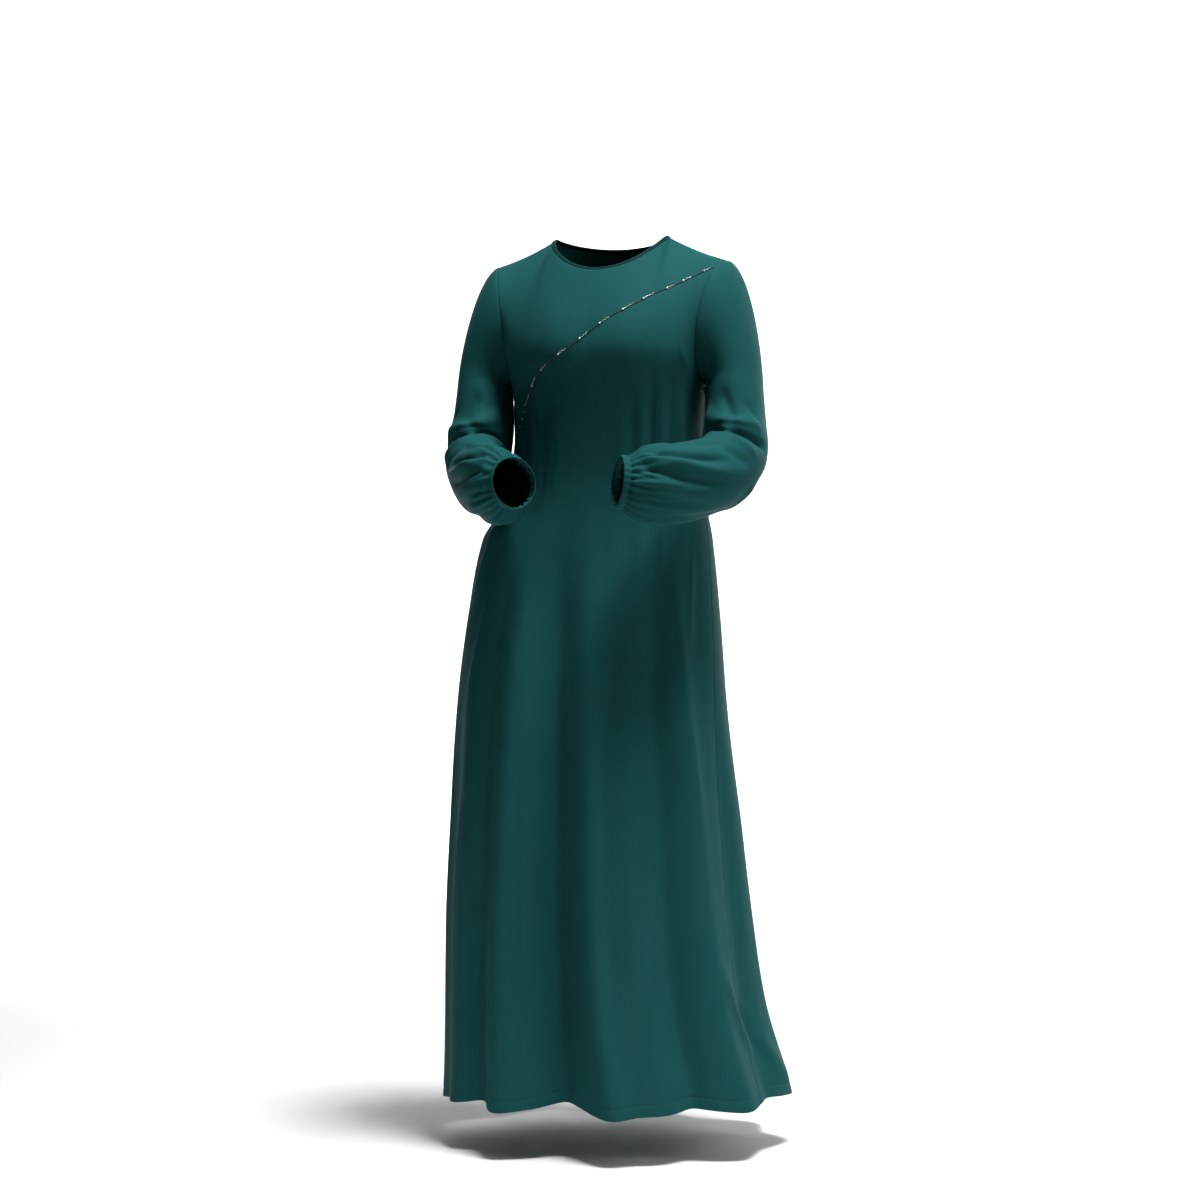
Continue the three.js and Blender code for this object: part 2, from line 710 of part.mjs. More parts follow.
// A sheet given its thickness. sharedNormals holds the directions that sewn pieces agree on, and
// both pieces at a seam split its edge strip the same way, so a twisted strip fits its neighbour
function wallGeometry(sheet, sharedNormals, thickness, setback) {
  const ownNormals = new Map();
  gatherNormals(sheet, ownNormals);
  const edges = openEdges(sheet);
  const setbacks = edgeSetbacks(edges, setback);
  const skins = new Map();
  const skinOf = (item) => {
    const key = keyOf(item.point);
    if (!skins.has(key)) {
      const direction = sharedNormals.get(key).clone().normalize();
      const own = ownNormals.get(key).clone().normalize();
      const lengthen = Math.min(1 / Math.max(direction.dot(own), 0.01), MITRE_LIMIT);
      const base = item.point.clone().add(setbacks.get(key) || new THREE.Vector3());
      const outer = base.clone().addScaledVector(direction, (lengthen * thickness) / 2);
      const innerDepth = thickness / 2 + item.hem * thickness;
      const inner = base.clone().addScaledVector(direction, -lengthen * innerDepth);
      skins.set(key, { outer, inner });
    }
    return skins.get(key);
  };
  const positions = [];
  const addTriangle = (a, b, c) => {
    positions.push(...a.toArray(), ...b.toArray(), ...c.toArray());
  };
  for (const triangle of sheet) {
    const [a, b, c] = triangle.map(skinOf);
    addTriangle(a.outer, b.outer, c.outer);
    addTriangle(a.inner, c.inner, b.inner);
  }
  for (const edge of edges) {
    const a = skinOf(edge.from);
    const b = skinOf(edge.to);
    if (keyOf(edge.from.point) < keyOf(edge.to.point)) {
      addTriangle(a.outer, a.inner, b.inner);
      addTriangle(a.outer, b.inner, b.outer);
    } else {
      addTriangle(a.outer, a.inner, b.outer);
      addTriangle(a.inner, b.inner, b.outer);
    }
  }
  return geometryOf(positions);
}

// Sections of equal count joined into a closed body with flat ends
function loftGeometry(sections) {
  const positions = [];
  const count = sections[0].length;
  const addTriangle = (a, b, c) => {
    positions.push(...a.toArray(), ...b.toArray(), ...c.toArray());
  };
  for (const k of range(sections.length - 1)) {
    for (const i of range(count)) {
      const j = (i + 1) % count;
      addTriangle(sections[k][i], sections[k][j], sections[k + 1][j]);
      addTriangle(sections[k][i], sections[k + 1][j], sections[k + 1][i]);
    }
  }
  const first = sections[0];
  const last = sections[sections.length - 1];
  for (const i of range(count - 2)) {
    addTriangle(first[0], first[i + 2], first[i + 1]);
    addTriangle(last[0], last[i + 1], last[i + 2]);
  }
  return geometryOf(positions);
}

// The folded strip that binds the neck edge, carried on from the points of the panels' edge
function bindingSheet() {
  const spots = COLUMNS.filter((across) => Math.abs(across) <= NECK_SHARE);
  const front = spots.map((across) => ({ panel: FRONT, across }));
  const back = spots.slice(1, -1).reverse().map((across) => ({ panel: BACK, across }));
  const rings = range(BINDING_RINGS + 1).map(() => []);
  for (const spot of [...front, ...back]) {
    const edge = panelPoint(spot.panel, spot.across, 2);
    const inward = new THREE.Vector3(-edge.x, -edge.y, 0).normalize();
    inward.z = BINDING_SLOPE;
    inward.normalize();
    for (const k of range(BINDING_RINGS + 1)) {
      rings[k].push(edge.clone().addScaledVector(inward, (BINDING_WIDTH * k) / BINDING_RINGS));
    }
  }
  return ringSheet(rings, false);
}

// The cord that lies on the diagonal seam and carries the beads
function cordGeometry(seamLevels, sharedNormals) {
  const spots = [];
  for (const i of range(PANEL_COLUMNS)) {
    const from = { across: COLUMNS[i], level: seamLevels[i] };
    const to = { across: COLUMNS[i + 1], level: seamLevels[i + 1] };
    spots.push(from);
    for (const row of LEVELS) {
      if (row > from.level + 1e-9 && row < to.level - 1e-9) {
        const share = (row - from.level) / (to.level - from.level);
        spots.push({ across: mix(from.across, to.across, share), level: row });
      }
    }
  }
  spots.push({ across: 1, level: seamLevels[PANEL_COLUMNS] });
  const points = spots.map((spot) => panelPoint(FRONT, spot.across, spot.level));
  const normals = points.map((point) => sharedNormals.get(keyOf(point)).clone().normalize());
  const last = points.length - 1;
  const seats = points.map((point) => point.clone());
  seats[0].lerp(seats[1], CORD_END_SETBACK / seats[0].distanceTo(seats[1]));
  seats[last].lerp(seats[last - 1], CORD_END_SETBACK / seats[last].distanceTo(seats[last - 1]));
  const height = CLOTH / 2 + SEAM_GAP + CORD_RADIUS;
  const sections = seats.map((seat, i) => {
    const along = seats[Math.min(i + 1, last)].clone().sub(seats[Math.max(i - 1, 0)]).normalize();
    const up = normals[i].clone().addScaledVector(along, -normals[i].dot(along)).normalize();
    const beside = up.clone().cross(along);
    const centre = seat.clone().addScaledVector(up, height);
    return range(CORD_SIDES).map((side) => {
      const turn = (2 * Math.PI * side) / CORD_SIDES;
      const point = centre.clone().addScaledVector(beside, CORD_RADIUS * Math.cos(turn));
      return point.addScaledVector(up, CORD_RADIUS * Math.sin(turn));
    });
  });
  return loftGeometry(sections);
}

function addMesh(group, name, geometry, finish) {
  const mesh = new THREE.Mesh(geometry, new THREE.MeshStandardMaterial(finish));
  mesh.name = name;
  group.add(mesh);
}

const seamLevels = diagonalLevels();
const left = sleeveSheets(LEFT, SLEEVE_LEFT);
const right = sleeveSheets(RIGHT, SLEEVE_RIGHT);
const sheets = {
  front_yoke: panelSheet(FRONT, seamLevels, 1),
  front_skirt: panelSheet(FRONT, seamLevels, -1),
  back_panel: panelSheet(BACK, seamLevels, 0),
  sleeve_left: left.sleeve,
  sleeve_right: right.sleeve,
  cuff_left: left.cuff,
  cuff_right: right.cuff,
  neck_binding: bindingSheet(),
};
const sharedNormals = new Map();
for (const sheet of Object.values(sheets)) {
  gatherNormals(sheet, sharedNormals);
}

const abaya = new THREE.Group();
for (const [name, sheet] of Object.entries(sheets)) {
  const isBinding = name === 'neck_binding';
  const thickness = isBinding ? BINDING_THICKNESS : CLOTH;
  const finish = isBinding ? BINDING_FABRIC : FABRIC;
  const setback = isBinding ? BINDING_SETBACK : SEAM_GAP / 2;
  addMesh(abaya, name, wallGeometry(sheet, sharedNormals, thickness, setback), finish);
}
addMesh(abaya, 'seam_trim', cordGeometry(seamLevels, sharedNormals), CORD_FINISH);

export default abaya;
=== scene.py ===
import math

import bpy
import numpy as np
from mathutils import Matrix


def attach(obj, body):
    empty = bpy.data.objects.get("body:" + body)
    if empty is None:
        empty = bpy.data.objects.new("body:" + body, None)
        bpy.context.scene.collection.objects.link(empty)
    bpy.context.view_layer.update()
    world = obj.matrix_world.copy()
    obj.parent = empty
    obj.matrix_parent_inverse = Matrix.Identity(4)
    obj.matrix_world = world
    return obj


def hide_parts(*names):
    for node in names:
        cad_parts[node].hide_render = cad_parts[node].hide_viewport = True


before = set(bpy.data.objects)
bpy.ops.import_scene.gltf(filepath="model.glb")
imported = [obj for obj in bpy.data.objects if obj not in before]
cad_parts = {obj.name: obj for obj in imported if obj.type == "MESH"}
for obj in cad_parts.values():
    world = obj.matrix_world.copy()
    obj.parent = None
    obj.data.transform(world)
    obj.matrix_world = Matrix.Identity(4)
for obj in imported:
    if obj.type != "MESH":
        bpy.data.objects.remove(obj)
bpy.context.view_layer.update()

# Front skirt: the large front panel of the abaya, from the diagonal seam down to the hem.
# Heavy smooth knit, cut A-line, sewn at the side seams and hanging in long uneven folds.
# Its hem is turned up inside and held by one row of stitches.
MM = 0.001
CLOTH = 1.6
HEM_TURN = 17
# Widths and lengths of the panels, which set how their mesh steps are spaced
PANEL_WIDTH = 640
SKIRT_LENGTH = 1250
UNDERARM = -225
SECTION_POWER = 2.2
# The garment's sections by height: middle, half width, reach to the front and to the back, and
# how far each side seam lies forward of the side, in degrees
SECTIONS = [
    dict(z=-1400, centre=5, half=279, front=220, back=218, left=22, right=3),
    dict(z=-1340, centre=1, half=272, front=216, back=214, left=21, right=3),
    dict(z=-1211, centre=-15, half=251, front=205, back=201, left=19, right=3),
    dict(z=-1051, centre=-25, half=239, front=192, back=187, left=17, right=3),
    dict(z=-900, centre=-29, half=228, front=178, back=173, left=16, right=3),
    dict(z=-731, centre=-33, half=217, front=162, back=155, left=14, right=3),
    dict(z=-600, centre=-30, half=204, front=145, back=140, left=11, right=2),
    dict(z=-475, centre=-24, half=186, front=129, back=122, left=7, right=2),
    dict(z=-430, centre=-14, half=168, front=123, back=114, left=5, right=2),
    dict(z=-379, centre=-6, half=154, front=121, back=108, left=3, right=1),
    dict(z=-300, centre=-3, half=152, front=130, back=114, left=1, right=0),
    dict(z=-225, centre=-2, half=156, front=145, back=122, left=0, right=0),
]
# Height of the hem by degrees from the centre front to the wearer's left, before folds move it
HEM = [
    dict(angle=-180, z=-1370),
    dict(angle=-90, z=-1370),
    dict(angle=-40, z=-1354),
    dict(angle=0, z=-1354),
    dict(angle=50, z=-1353),
    dict(angle=90, z=-1350),
    dict(angle=140, z=-1358),
    dict(angle=180, z=-1370),
]
# Long folds: degrees at the head and at the foot, height of the head, half width in degrees and
# depth in millimetres, ridges above zero
FOLDS = [
    dict(head=-20, foot=-24, top=-430, width=7, depth=26),
    dict(head=-44, foot=-50, top=-440, width=8, depth=8),
    dict(head=-33, foot=-37, top=-520, width=6, depth=-14),
    dict(head=-62, foot=-64, top=-560, width=9, depth=-8),
    dict(head=-4, foot=-5, top=-400, width=6.5, depth=-40),
    dict(head=8, foot=10, top=-450, width=6, depth=23),
    dict(head=18, foot=21, top=-420, width=13, depth=9),
    dict(head=36, foot=38, top=-470, width=7, depth=-20),
    dict(head=48, foot=58, top=-360, width=8, depth=17),
    dict(head=74, foot=79, top=-620, width=7, depth=-9),
    dict(head=92, foot=99, top=-700, width=10, depth=12),
    dict(head=112, foot=119, top=-560, width=10, depth=-15),
    dict(head=134, foot=138, top=-450, width=10, depth=16),
    dict(head=152, foot=156, top=-520, width=8, depth=-13),
    dict(head=172, foot=176, top=-430, width=10, depth=15),
    dict(head=-170, foot=-166, top=-560, width=7, depth=-14),
    dict(head=-150, foot=-147, top=-440, width=10, depth=17),
    dict(head=-128, foot=-126, top=-540, width=9, depth=-14),
    dict(head=-104, foot=-103, top=-600, width=10, depth=11),
]
FOLD_RUN_IN = 260
FOLD_HEAD_SHARE = 0.35
HEM_LIFT = 0.22
# Finer creases: soft ridges and troughs between two places, given by degrees round the body
# and height, with half width and depth in millimetres
CREASES = [
    dict(a0=18, z0=-226, a1=15, z1=-560, width=11, depth=1.8),
    dict(a0=25, z0=-236, a1=22, z1=-480, width=9, depth=-2.0),
    dict(a0=31, z0=-218, a1=27, z1=-540, width=9, depth=3.0),
    dict(a0=38, z0=-214, a1=34, z1=-500, width=7, depth=-4.2),
    dict(a0=45, z0=-212, a1=41, z1=-560, width=8, depth=3.4),
    dict(a0=52, z0=-224, a1=48, z1=-460, width=7, depth=-2.6),
    dict(a0=59, z0=-206, a1=57, z1=-520, width=9, depth=3.2),
    dict(a0=68, z0=-222, a1=65, z1=-450, width=8, depth=-2.8),
    dict(a0=60, z0=-176, a1=80, z1=-232, width=8, depth=3.0),
    dict(a0=67, z0=-205, a1=82, z1=-244, width=6, depth=-2.4),
    dict(a0=-38, z0=-244, a1=-37, z1=-450, width=8, depth=3.0),
    dict(a0=-29, z0=-232, a1=-28, z1=-500, width=10, depth=-3.0),
    dict(a0=-18, z0=-238, a1=-19, z1=-450, width=12, depth=1.6),
    dict(a0=-47, z0=-240, a1=-47, z1=-470, width=8, depth=-2.6),
    dict(a0=-57, z0=-214, a1=-57, z1=-500, width=10, depth=2.8),
    dict(a0=-84, z0=-240, a1=-64, z1=-268, width=8, depth=-2.2),
    dict(a0=47, z0=-470, a1=58, z1=-980, width=9, depth=3.0),
    dict(a0=64, z0=-480, a1=56, z1=-640, width=8, depth=3.0),
    dict(a0=60, z0=-1120, a1=76, z1=-1290, width=13, depth=5.0),
    dict(a0=82, z0=-1240, a1=97, z1=-1345, width=14, depth=5.0),
    dict(a0=70, z0=-1180, a1=86, z1=-1310, width=9, depth=-4.5),
    dict(a0=-52, z0=-470, a1=-62, z1=-560, width=9, depth=3.5),
    dict(a0=-40, z0=-520, a1=-52, z1=-760, width=10, depth=3.0),
    dict(a0=-28, z0=-520, a1=-43, z1=-740, width=8, depth=-3.5),
    dict(a0=28, z0=-620, a1=27, z1=-1180, width=12, depth=-3.0),
    dict(a0=13, z0=-700, a1=14, z1=-1340, width=10, depth=-3.5),
    dict(a0=-13, z0=-640, a1=-14, z1=-1340, width=8, depth=3.0),
    dict(a0=-55, z0=-820, a1=-57, z1=-1360, width=11, depth=3.5),
    dict(a0=-75, z0=-700, a1=-76, z1=-1360, width=12, depth=3.5),
    dict(a0=170, z0=-180, a1=176, z1=-420, width=13, depth=2.5),
    dict(a0=158, z0=-210, a1=152, z1=-520, width=10, depth=-3.0),
    dict(a0=-160, z0=-200, a1=-152, z1=-480, width=11, depth=3.0),
    dict(a0=-146, z0=-240, a1=-142, z1=-560, width=9, depth=-3.0),
    dict(a0=140, z0=-250, a1=132, z1=-600, width=10, depth=3.0),
    dict(a0=122, z0=-260, a1=108, z1=-420, width=9, depth=-2.5),
    dict(a0=-122, z0=-255, a1=-110, z1=-430, width=9, depth=-2.5),
    dict(a0=178, z0=-700, a1=-176, z1=-1340, width=12, depth=-3.5),
    dict(a0=162, z0=-760, a1=165, z1=-1300, width=9, depth=3.0),
    dict(a0=-136, z0=-800, a1=-137, z1=-1340, width=9, depth=3.5),
    dict(a0=126, z0=-760, a1=130, z1=-1330, width=9, depth=-3.0),
    dict(a0=104, z0=-900, a1=110, z1=-1335, width=9, depth=3.0),
    dict(a0=-114, z0=-860, a1=-114, z1=-1350, width=8, depth=-3.0),
]
CREASE_RADIUS = 190
CREASE_FADE = 0.3
# The diagonal seam, from the wearer's right side up to the left armhole
DIAGONAL_SIDE = -418
DIAGONAL_ARMHOLE = -48
DIAGONAL = [
    dict(x=-143, z=-318),
    dict(x=-127, z=-294),
    dict(x=-114, z=-266),
    dict(x=-101, z=-243),
    dict(x=-93, z=-226),
    dict(x=-80, z=-213),
    dict(x=-55, z=-195),
    dict(x=-26, z=-176),
    dict(x=1, z=-156),
    dict(x=31, z=-134),
    dict(x=62, z=-115),
    dict(x=100, z=-91),
    dict(x=139, z=-69),
]
# Neck, shoulders and armholes of the front and back
NECK_HALF = 97
NECK_FRONT_DROP = 58
NECK_BACK_DROP = 13
NECK_FRONT_REACH = 95
NECK_BACK_REACH = 62
NECK_TOP = 5
NECK_FALL_POWER = 1.5
NECK_SHARE = 0.5
TIP_HALF = 188
TIP_TOP = -33
TIP_BACK = 5
SHOULDER_SAG = 3
ARMHOLE_FRONT = 82
ARMHOLE_BACK = 70
ARMHOLE_SCOOP = 13
RISE_POWER = dict(front=2.4, back=2.0)
INSET_POWER = 1.2
PULL_START = 0.3
PULL_POWER = 1.6
BUST_FULLNESS = 17
BUST_PLACE = 0.33
BUST_SPREAD = 0.28
BUST_RISE_POWER = 0.6
TOP_SPREAD = 0.42
SPREAD_TAPS = (-1, -0.5, 0, 0.5, 1)
LEFT = 1
RIGHT = -1
# Depth and half width of the dip that a seam makes in the cloth, and the hem's stitches make
SEAM_DIP = 0.8
SEAM_WIDTH = 2.4
HEM_DIP = 0.55
HEM_DIP_WIDTH = 1.7
# The line where the two forms of the cloth meet at the underarm is melted over this height
SOFT_HEIGHT = 28
SOFT_ROUNDS = 24
# Rounds of the search for a height on the cloth, and of that for the line of the diagonal seam
HALVINGS = 30
SEAM_ROUNDS = 14
SEAM_PULL = 0.7
EDGE_STEPS = (0, 0.5, 1.3, 2.4, 4.0, 6.5, 10)
HEM_STEPS = (0, 0.5, 1.3, 2.4, 5, 9, 13, 15.5, 16.6, 17.7, 19.5, 22.5, 27)


def smooth(value):
    u = np.clip(value, 0, 1)
    return u * u * (3 - 2 * u)


def mix(a, b, share):
    return a + (b - a) * share


def bell(offset, half_width):
    return np.exp(-((offset / half_width) ** 2))


def signed_power(value, power):
    return np.sign(value) * np.abs(value) ** power


def unit(vectors):
    return vectors / np.linalg.norm(vectors, axis=-1, keepdims=True)


def curve_of(rows, key, column):
    """A smooth curve through one column of a table whose rows rise in the key column."""
    keys = np.array([row[key] for row in rows], float)
    values = np.array([row[column] for row in rows], float)
    slopes = np.empty_like(values)
    slopes[1:-1] = (values[2:] - values[:-2]) / (keys[2:] - keys[:-2])
    slopes[0] = (values[1] - values[0]) / (keys[1] - keys[0])
    slopes[-1] = (values[-1] - values[-2]) / (keys[-1] - keys[-2])

    def at(place):
        place = np.clip(place, keys[0], keys[-1])
        i = np.clip(np.searchsorted(keys, place, side="left") - 1, 0, len(keys) - 2)
        span = keys[i + 1] - keys[i]
        u = (place - keys[i]) / span
        leave = u * (1 - u) ** 2 * span * slopes[i]
        arrive = u**2 * (1 - u) * span * slopes[i + 1]
        return mix(values[i], values[i + 1], u * u * (3 - 2 * u)) + leave - arrive

    return at


section = {name: curve_of(SECTIONS, "z", name) for name in SECTIONS[0] if name != "z"}
plain_hem = curve_of(HEM, "angle", "z")


def apart(a, b):
    return (a - b + 540) % 360 - 180


def fold_depth(angle, z):
    total = np.zeros(np.broadcast(angle, z).shape)
    for fold in FOLDS:
        run = np.clip((fold["top"] - z) / (fold["top"] - plain_hem(0)), 0, 1)
        grow = smooth((fold["top"] - z) / FOLD_RUN_IN) * mix(FOLD_HEAD_SHARE, 1, run)
        middle = mix(fold["head"], fold["foot"], run)
        total += fold["depth"] * grow * bell(apart(angle, middle), fold["width"])
    return total


def crease_depth(angle, z):
    total = np.zeros(np.broadcast(angle, z).shape)
    for crease in CREASES:
        along_u = math.radians(apart(crease["a1"], crease["a0"])) * CREASE_RADIUS
        along_z = crease["z1"] - crease["z0"]
        length = math.hypot(along_u, along_z)
        u = np.radians(apart(angle, crease["a0"])) * CREASE_RADIUS
        w = z - crease["z0"]
        place = (u * along_u + w * along_z) / length**2
        beside = (u * along_z - w * along_u) / length
        ends = smooth(place / CREASE_FADE) * smooth((1 - place) / CREASE_FADE)
        total += crease["depth"] * ends * bell(beside, crease["width"])
    return total


def body_point(angle, z, creased=True):
    """Cloth below the underarm: degrees from the centre front to the wearer's left, and height."""
    turn = np.radians(angle)
    reach = np.where(np.cos(turn) > 0, section["front"](z), section["back"](z))
    half = section["half"](z)
    out_x = np.sin(turn) / half
    out_y = -np.cos(turn) / reach
    move = fold_depth(angle, z) + (crease_depth(angle, z) if creased else 0)
    move = move / np.hypot(out_x, out_y)
    power = 2 / SECTION_POWER
    x = section["centre"](z) + half * signed_power(np.sin(turn), power) + out_x * move
    y = -reach * signed_power(np.cos(turn), power) + out_y * move
    return np.stack(np.broadcast_arrays(x, y, z), -1)


def hem_height(angle):
    plain = plain_hem(apart(angle, 0))
    return plain - HEM_LIFT * fold_depth(angle, plain)


def column_angle(panel, across, z):
    left = 90 - section["left"](z)
    right = -90 + section["right"](z)
    if panel == "front":
        return mix(right, left, (across + 1) / 2)
    return mix(right + 360, left, (across + 1) / 2)


def foot_height(panel, across):
    """Height of the hem on each column of a panel."""
    return hem_height(column_angle(panel, across, plain_hem(0)))


def armhole_point(side, panel, turn):
    rise = (1 - np.cos(turn)) / 2
    underarm = body_point(np.array(side * 90.0), np.array(float(UNDERARM)), False)
    depth = -ARMHOLE_FRONT if panel == "front" else ARMHOLE_BACK
    x = mix(underarm[0], side * TIP_HALF, rise) - side * ARMHOLE_SCOOP * np.sin(turn)
    y = depth * np.sin(turn) + TIP_BACK * rise
    return np.stack([x, y, mix(UNDERARM, TIP_TOP, rise)], -1)


def top_point(panel, across):
    side = np.sign(across)
    share = np.abs(across)
    u = np.clip((share - NECK_SHARE) / (1 - NECK_SHARE), 0, None)
    sag = SHOULDER_SAG * np.sin(np.pi * u)
    shoulder = [side * mix(NECK_HALF, TIP_HALF, u), TIP_BACK * u, mix(NECK_TOP, TIP_TOP, u) - sag]
    turn = np.clip(share / NECK_SHARE, 0, 1) * np.pi / 2
    reach = -NECK_FRONT_REACH if panel == "front" else NECK_BACK_REACH
    drop = NECK_FRONT_DROP if panel == "front" else NECK_BACK_DROP
    fall = drop * np.clip(np.cos(turn), 0, 1) ** NECK_FALL_POWER
    neck = [side * NECK_HALF * np.sin(turn), reach * np.cos(turn), NECK_TOP - fall]
    on_shoulder = (share >= NECK_SHARE)[..., None]
    return np.where(on_shoulder, np.stack(shoulder, -1), np.stack(neck, -1))


def plain_upper(panel, across, rise):
    angle = column_angle(panel, across, UNDERARM)
    foot = body_point(angle, np.full(angle.shape, float(UNDERARM)), False)
    slope = foot - body_point(angle, np.full(angle.shape, UNDERARM - 1.0), False)
    top = 0
    for tap in SPREAD_TAPS:
        shift = tap * TOP_SPREAD * (1 - rise) * (1 - np.abs(across))
        top = top + top_point(panel, across + shift) / len(SPREAD_TAPS)
    carry = rise * (1 - rise) ** 3 * (top[..., 2] - foot[..., 2])
    x = mix(foot[..., 0], top[..., 0], rise**INSET_POWER) + slope[..., 0] * carry
    y = mix(foot[..., 1], top[..., 1], rise ** RISE_POWER[panel]) + slope[..., 1] * carry
    return np.stack([x, y, mix(foot[..., 2], top[..., 2], rise)], -1)


def panel_point(panel, across, level):
    """A point of the front or back: across -1 to 1, level 0 at the hem, 1 underarm, 2 top."""
    across, level = np.broadcast_arrays(across * 1.0, level * 1.0)
    foot = foot_height(panel, across)
    z = mix(foot, UNDERARM, np.clip(level, 0, 1))
    lower = body_point(column_angle(panel, across, z), z)
    turn = np.pi * np.clip(level - 1, 0, 1)
    rise = (1 - np.cos(turn)) / 2
    upper = plain_upper(panel, across, rise)
    edge = np.where(
        (across < 0)[..., None],
        armhole_point(RIGHT, panel, turn) - plain_upper(panel, -np.ones_like(across), rise),
        armhole_point(LEFT, panel, turn) - plain_upper(panel, np.ones_like(across), rise),
    )
    share = np.abs(across)
    pull = np.clip((share - PULL_START) / (1 - PULL_START), 0, 1) ** PULL_POWER
    upper = upper + edge * pull[..., None]
    if panel == "front":
        hill = np.sin(np.pi * rise**BUST_RISE_POWER) ** 2
        upper[..., 1] -= BUST_FULLNESS * hill * (1 - share) * bell(share - BUST_PLACE, BUST_SPREAD)
    angle = column_angle(panel, across, UNDERARM)
    away = np.stack([np.sin(np.radians(angle)), -np.cos(np.radians(angle)), 0 * angle], -1)
    crease = crease_depth(angle, upper[..., 2]) * (1 - share**8)
    upper = upper + away * crease[..., None]
    return np.where((level <= 1)[..., None], lower, upper)


def plain_level(panel, across, z):
    """Level by a plain height, which the true height of the cloth follows closely."""
    foot = foot_height(panel, across)
    rise = np.clip((z - UNDERARM) / (top_point(panel, across)[..., 2] - UNDERARM), 0, 1)
    upper = 1 + np.arccos(1 - 2 * rise) / np.pi
    return np.where(z < UNDERARM, (z - foot) / (UNDERARM - foot), upper)


def plain_height(panel, across, level):
    foot = foot_height(panel, across)
    rise = (1 - np.cos(np.pi * np.clip(level - 1, 0, 1))) / 2
    upper = mix(UNDERARM, top_point(panel, across)[..., 2], rise)
    return np.where(level < 1, mix(foot, UNDERARM, level), upper)


def level_at(panel, across, z):
    """Level at which a column of the cloth has this height, found by halving."""
    low = np.zeros(across.shape)
    high = np.full(across.shape, 2.0)
    for _ in range(HALVINGS):
        middle = (low + high) / 2
        above = panel_point(panel, across, middle)[..., 2] > z
        high = np.where(above, middle, high)
        low = np.where(above, low, middle)
    return (low + high) / 2


def soften(points, across):
    """Melts the faint line where the cloth's two forms meet at the underarm."""
    near = bell(points[..., 2] - UNDERARM, SOFT_HEIGHT) * (1 - np.abs(across) ** 6)
    for _ in range(SOFT_ROUNDS):
        blurred = points.copy()
        blurred[1:-1] = (points[:-2] + 2 * points[1:-1] + points[2:]) / 4
        points = mix(points, blurred, near[..., None])
    return points


def steps_of(count, length, start=EDGE_STEPS, end=EDGE_STEPS):
    """Places from 0 to 1 along a length, close together near both ends."""
    first = np.array(start) / length
    last = 1 - np.array(end)[::-1] / length
    return np.concatenate([first, np.linspace(first[-1], last[0], count)[1:-1], last])


def normals_of(points, wrap):
    """Directions square to a grid of points, pointing out of the garment."""
    if wrap:
        along = np.roll(points, -1, 1) - np.roll(points, 1, 1)
    else:
        along = np.gradient(points, axis=1)
    up = np.gradient(points, axis=0)
    normal = np.cross(along, up)
    return normal / np.maximum(np.linalg.norm(normal, axis=-1, keepdims=True), 1e-9)


def make_mesh(name, vertices, faces, uvs=None):
    """A smooth object from points in millimetres and lists of corners."""
    mesh = bpy.data.meshes.new(name)
    mesh.from_pydata((vertices * MM).tolist(), [], faces)
    mesh.polygons.foreach_set("use_smooth", np.ones(len(mesh.polygons), bool))
    if uvs is not None:
        layer = mesh.uv_layers.new(name="cloth")
        corners = np.empty(len(mesh.loops), int)
        mesh.loops.foreach_get("vertex_index", corners)
        layer.data.foreach_set("uv", (uvs[corners] * MM).ravel())
    mesh.validate()
    piece = bpy.data.objects.new(name, mesh)
    bpy.context.scene.collection.objects.link(piece)
    return piece


def cloth_lengths(points):
    """Distance along the cloth of each point, across and up, in millimetres."""
    across = np.linalg.norm(np.diff(points, axis=1), axis=-1).cumsum(1)
    across = np.concatenate([np.zeros((len(points), 1)), across], 1)
    across -= across[:, points.shape[1] // 2][:, None]
    up = np.linalg.norm(np.diff(points, axis=0), axis=-1).cumsum(0)
    up = np.concatenate([np.zeros((1, points.shape[1])), up], 0)
    return np.stack([across, up], -1)


def quads_of(index):
    """Four-cornered faces between the rows and columns of a grid of point numbers."""
    quads = np.stack([index[:-1, :-1], index[:-1, 1:], index[1:, 1:], index[1:, :-1]], -1)
    return quads.reshape(-1, 4)


def shell(name, points, thickness=CLOTH, wrap=False, flip=False, dip=None):
    """Cloth of a thickness round a grid of middle points, closed at its open edges."""
    normal = normals_of(points, wrap)
    if flip:
        normal = -normal
    if dip is not None:
        points = points - normal * dip[..., None]
    outer = points + normal * thickness / 2
    inner = points - normal * thickness / 2
    rows, columns = points.shape[:2]
    index = np.arange(rows * columns).reshape(rows, columns)
    if wrap:
        index = np.concatenate([index, index[:, :1]], 1)
    quads = quads_of(index)
    count = rows * columns
    faces = [quads, quads[:, ::-1] + count]
    edges = [index[0], index[-1][::-1]]
    if not wrap:
        edges += [index[::-1, 0], index[:, -1]]
    for edge in edges:
        rim = np.stack([edge[1:], edge[:-1], edge[:-1] + count, edge[1:] + count], -1)
        faces.append(rim)
    faces = np.concatenate(faces)
    if flip:
        faces = faces[:, ::-1]
    lengths = cloth_lengths(points).reshape(-1, 2)
    vertices = np.concatenate([outer.reshape(-1, 3), inner.reshape(-1, 3)])
    return make_mesh(name, vertices, faces.tolist(), np.concatenate([lengths, lengths]))


def seam_dip(places, length):
    distance = np.minimum(places, 1 - places) * length
    return SEAM_DIP * bell(distance, SEAM_WIDTH)


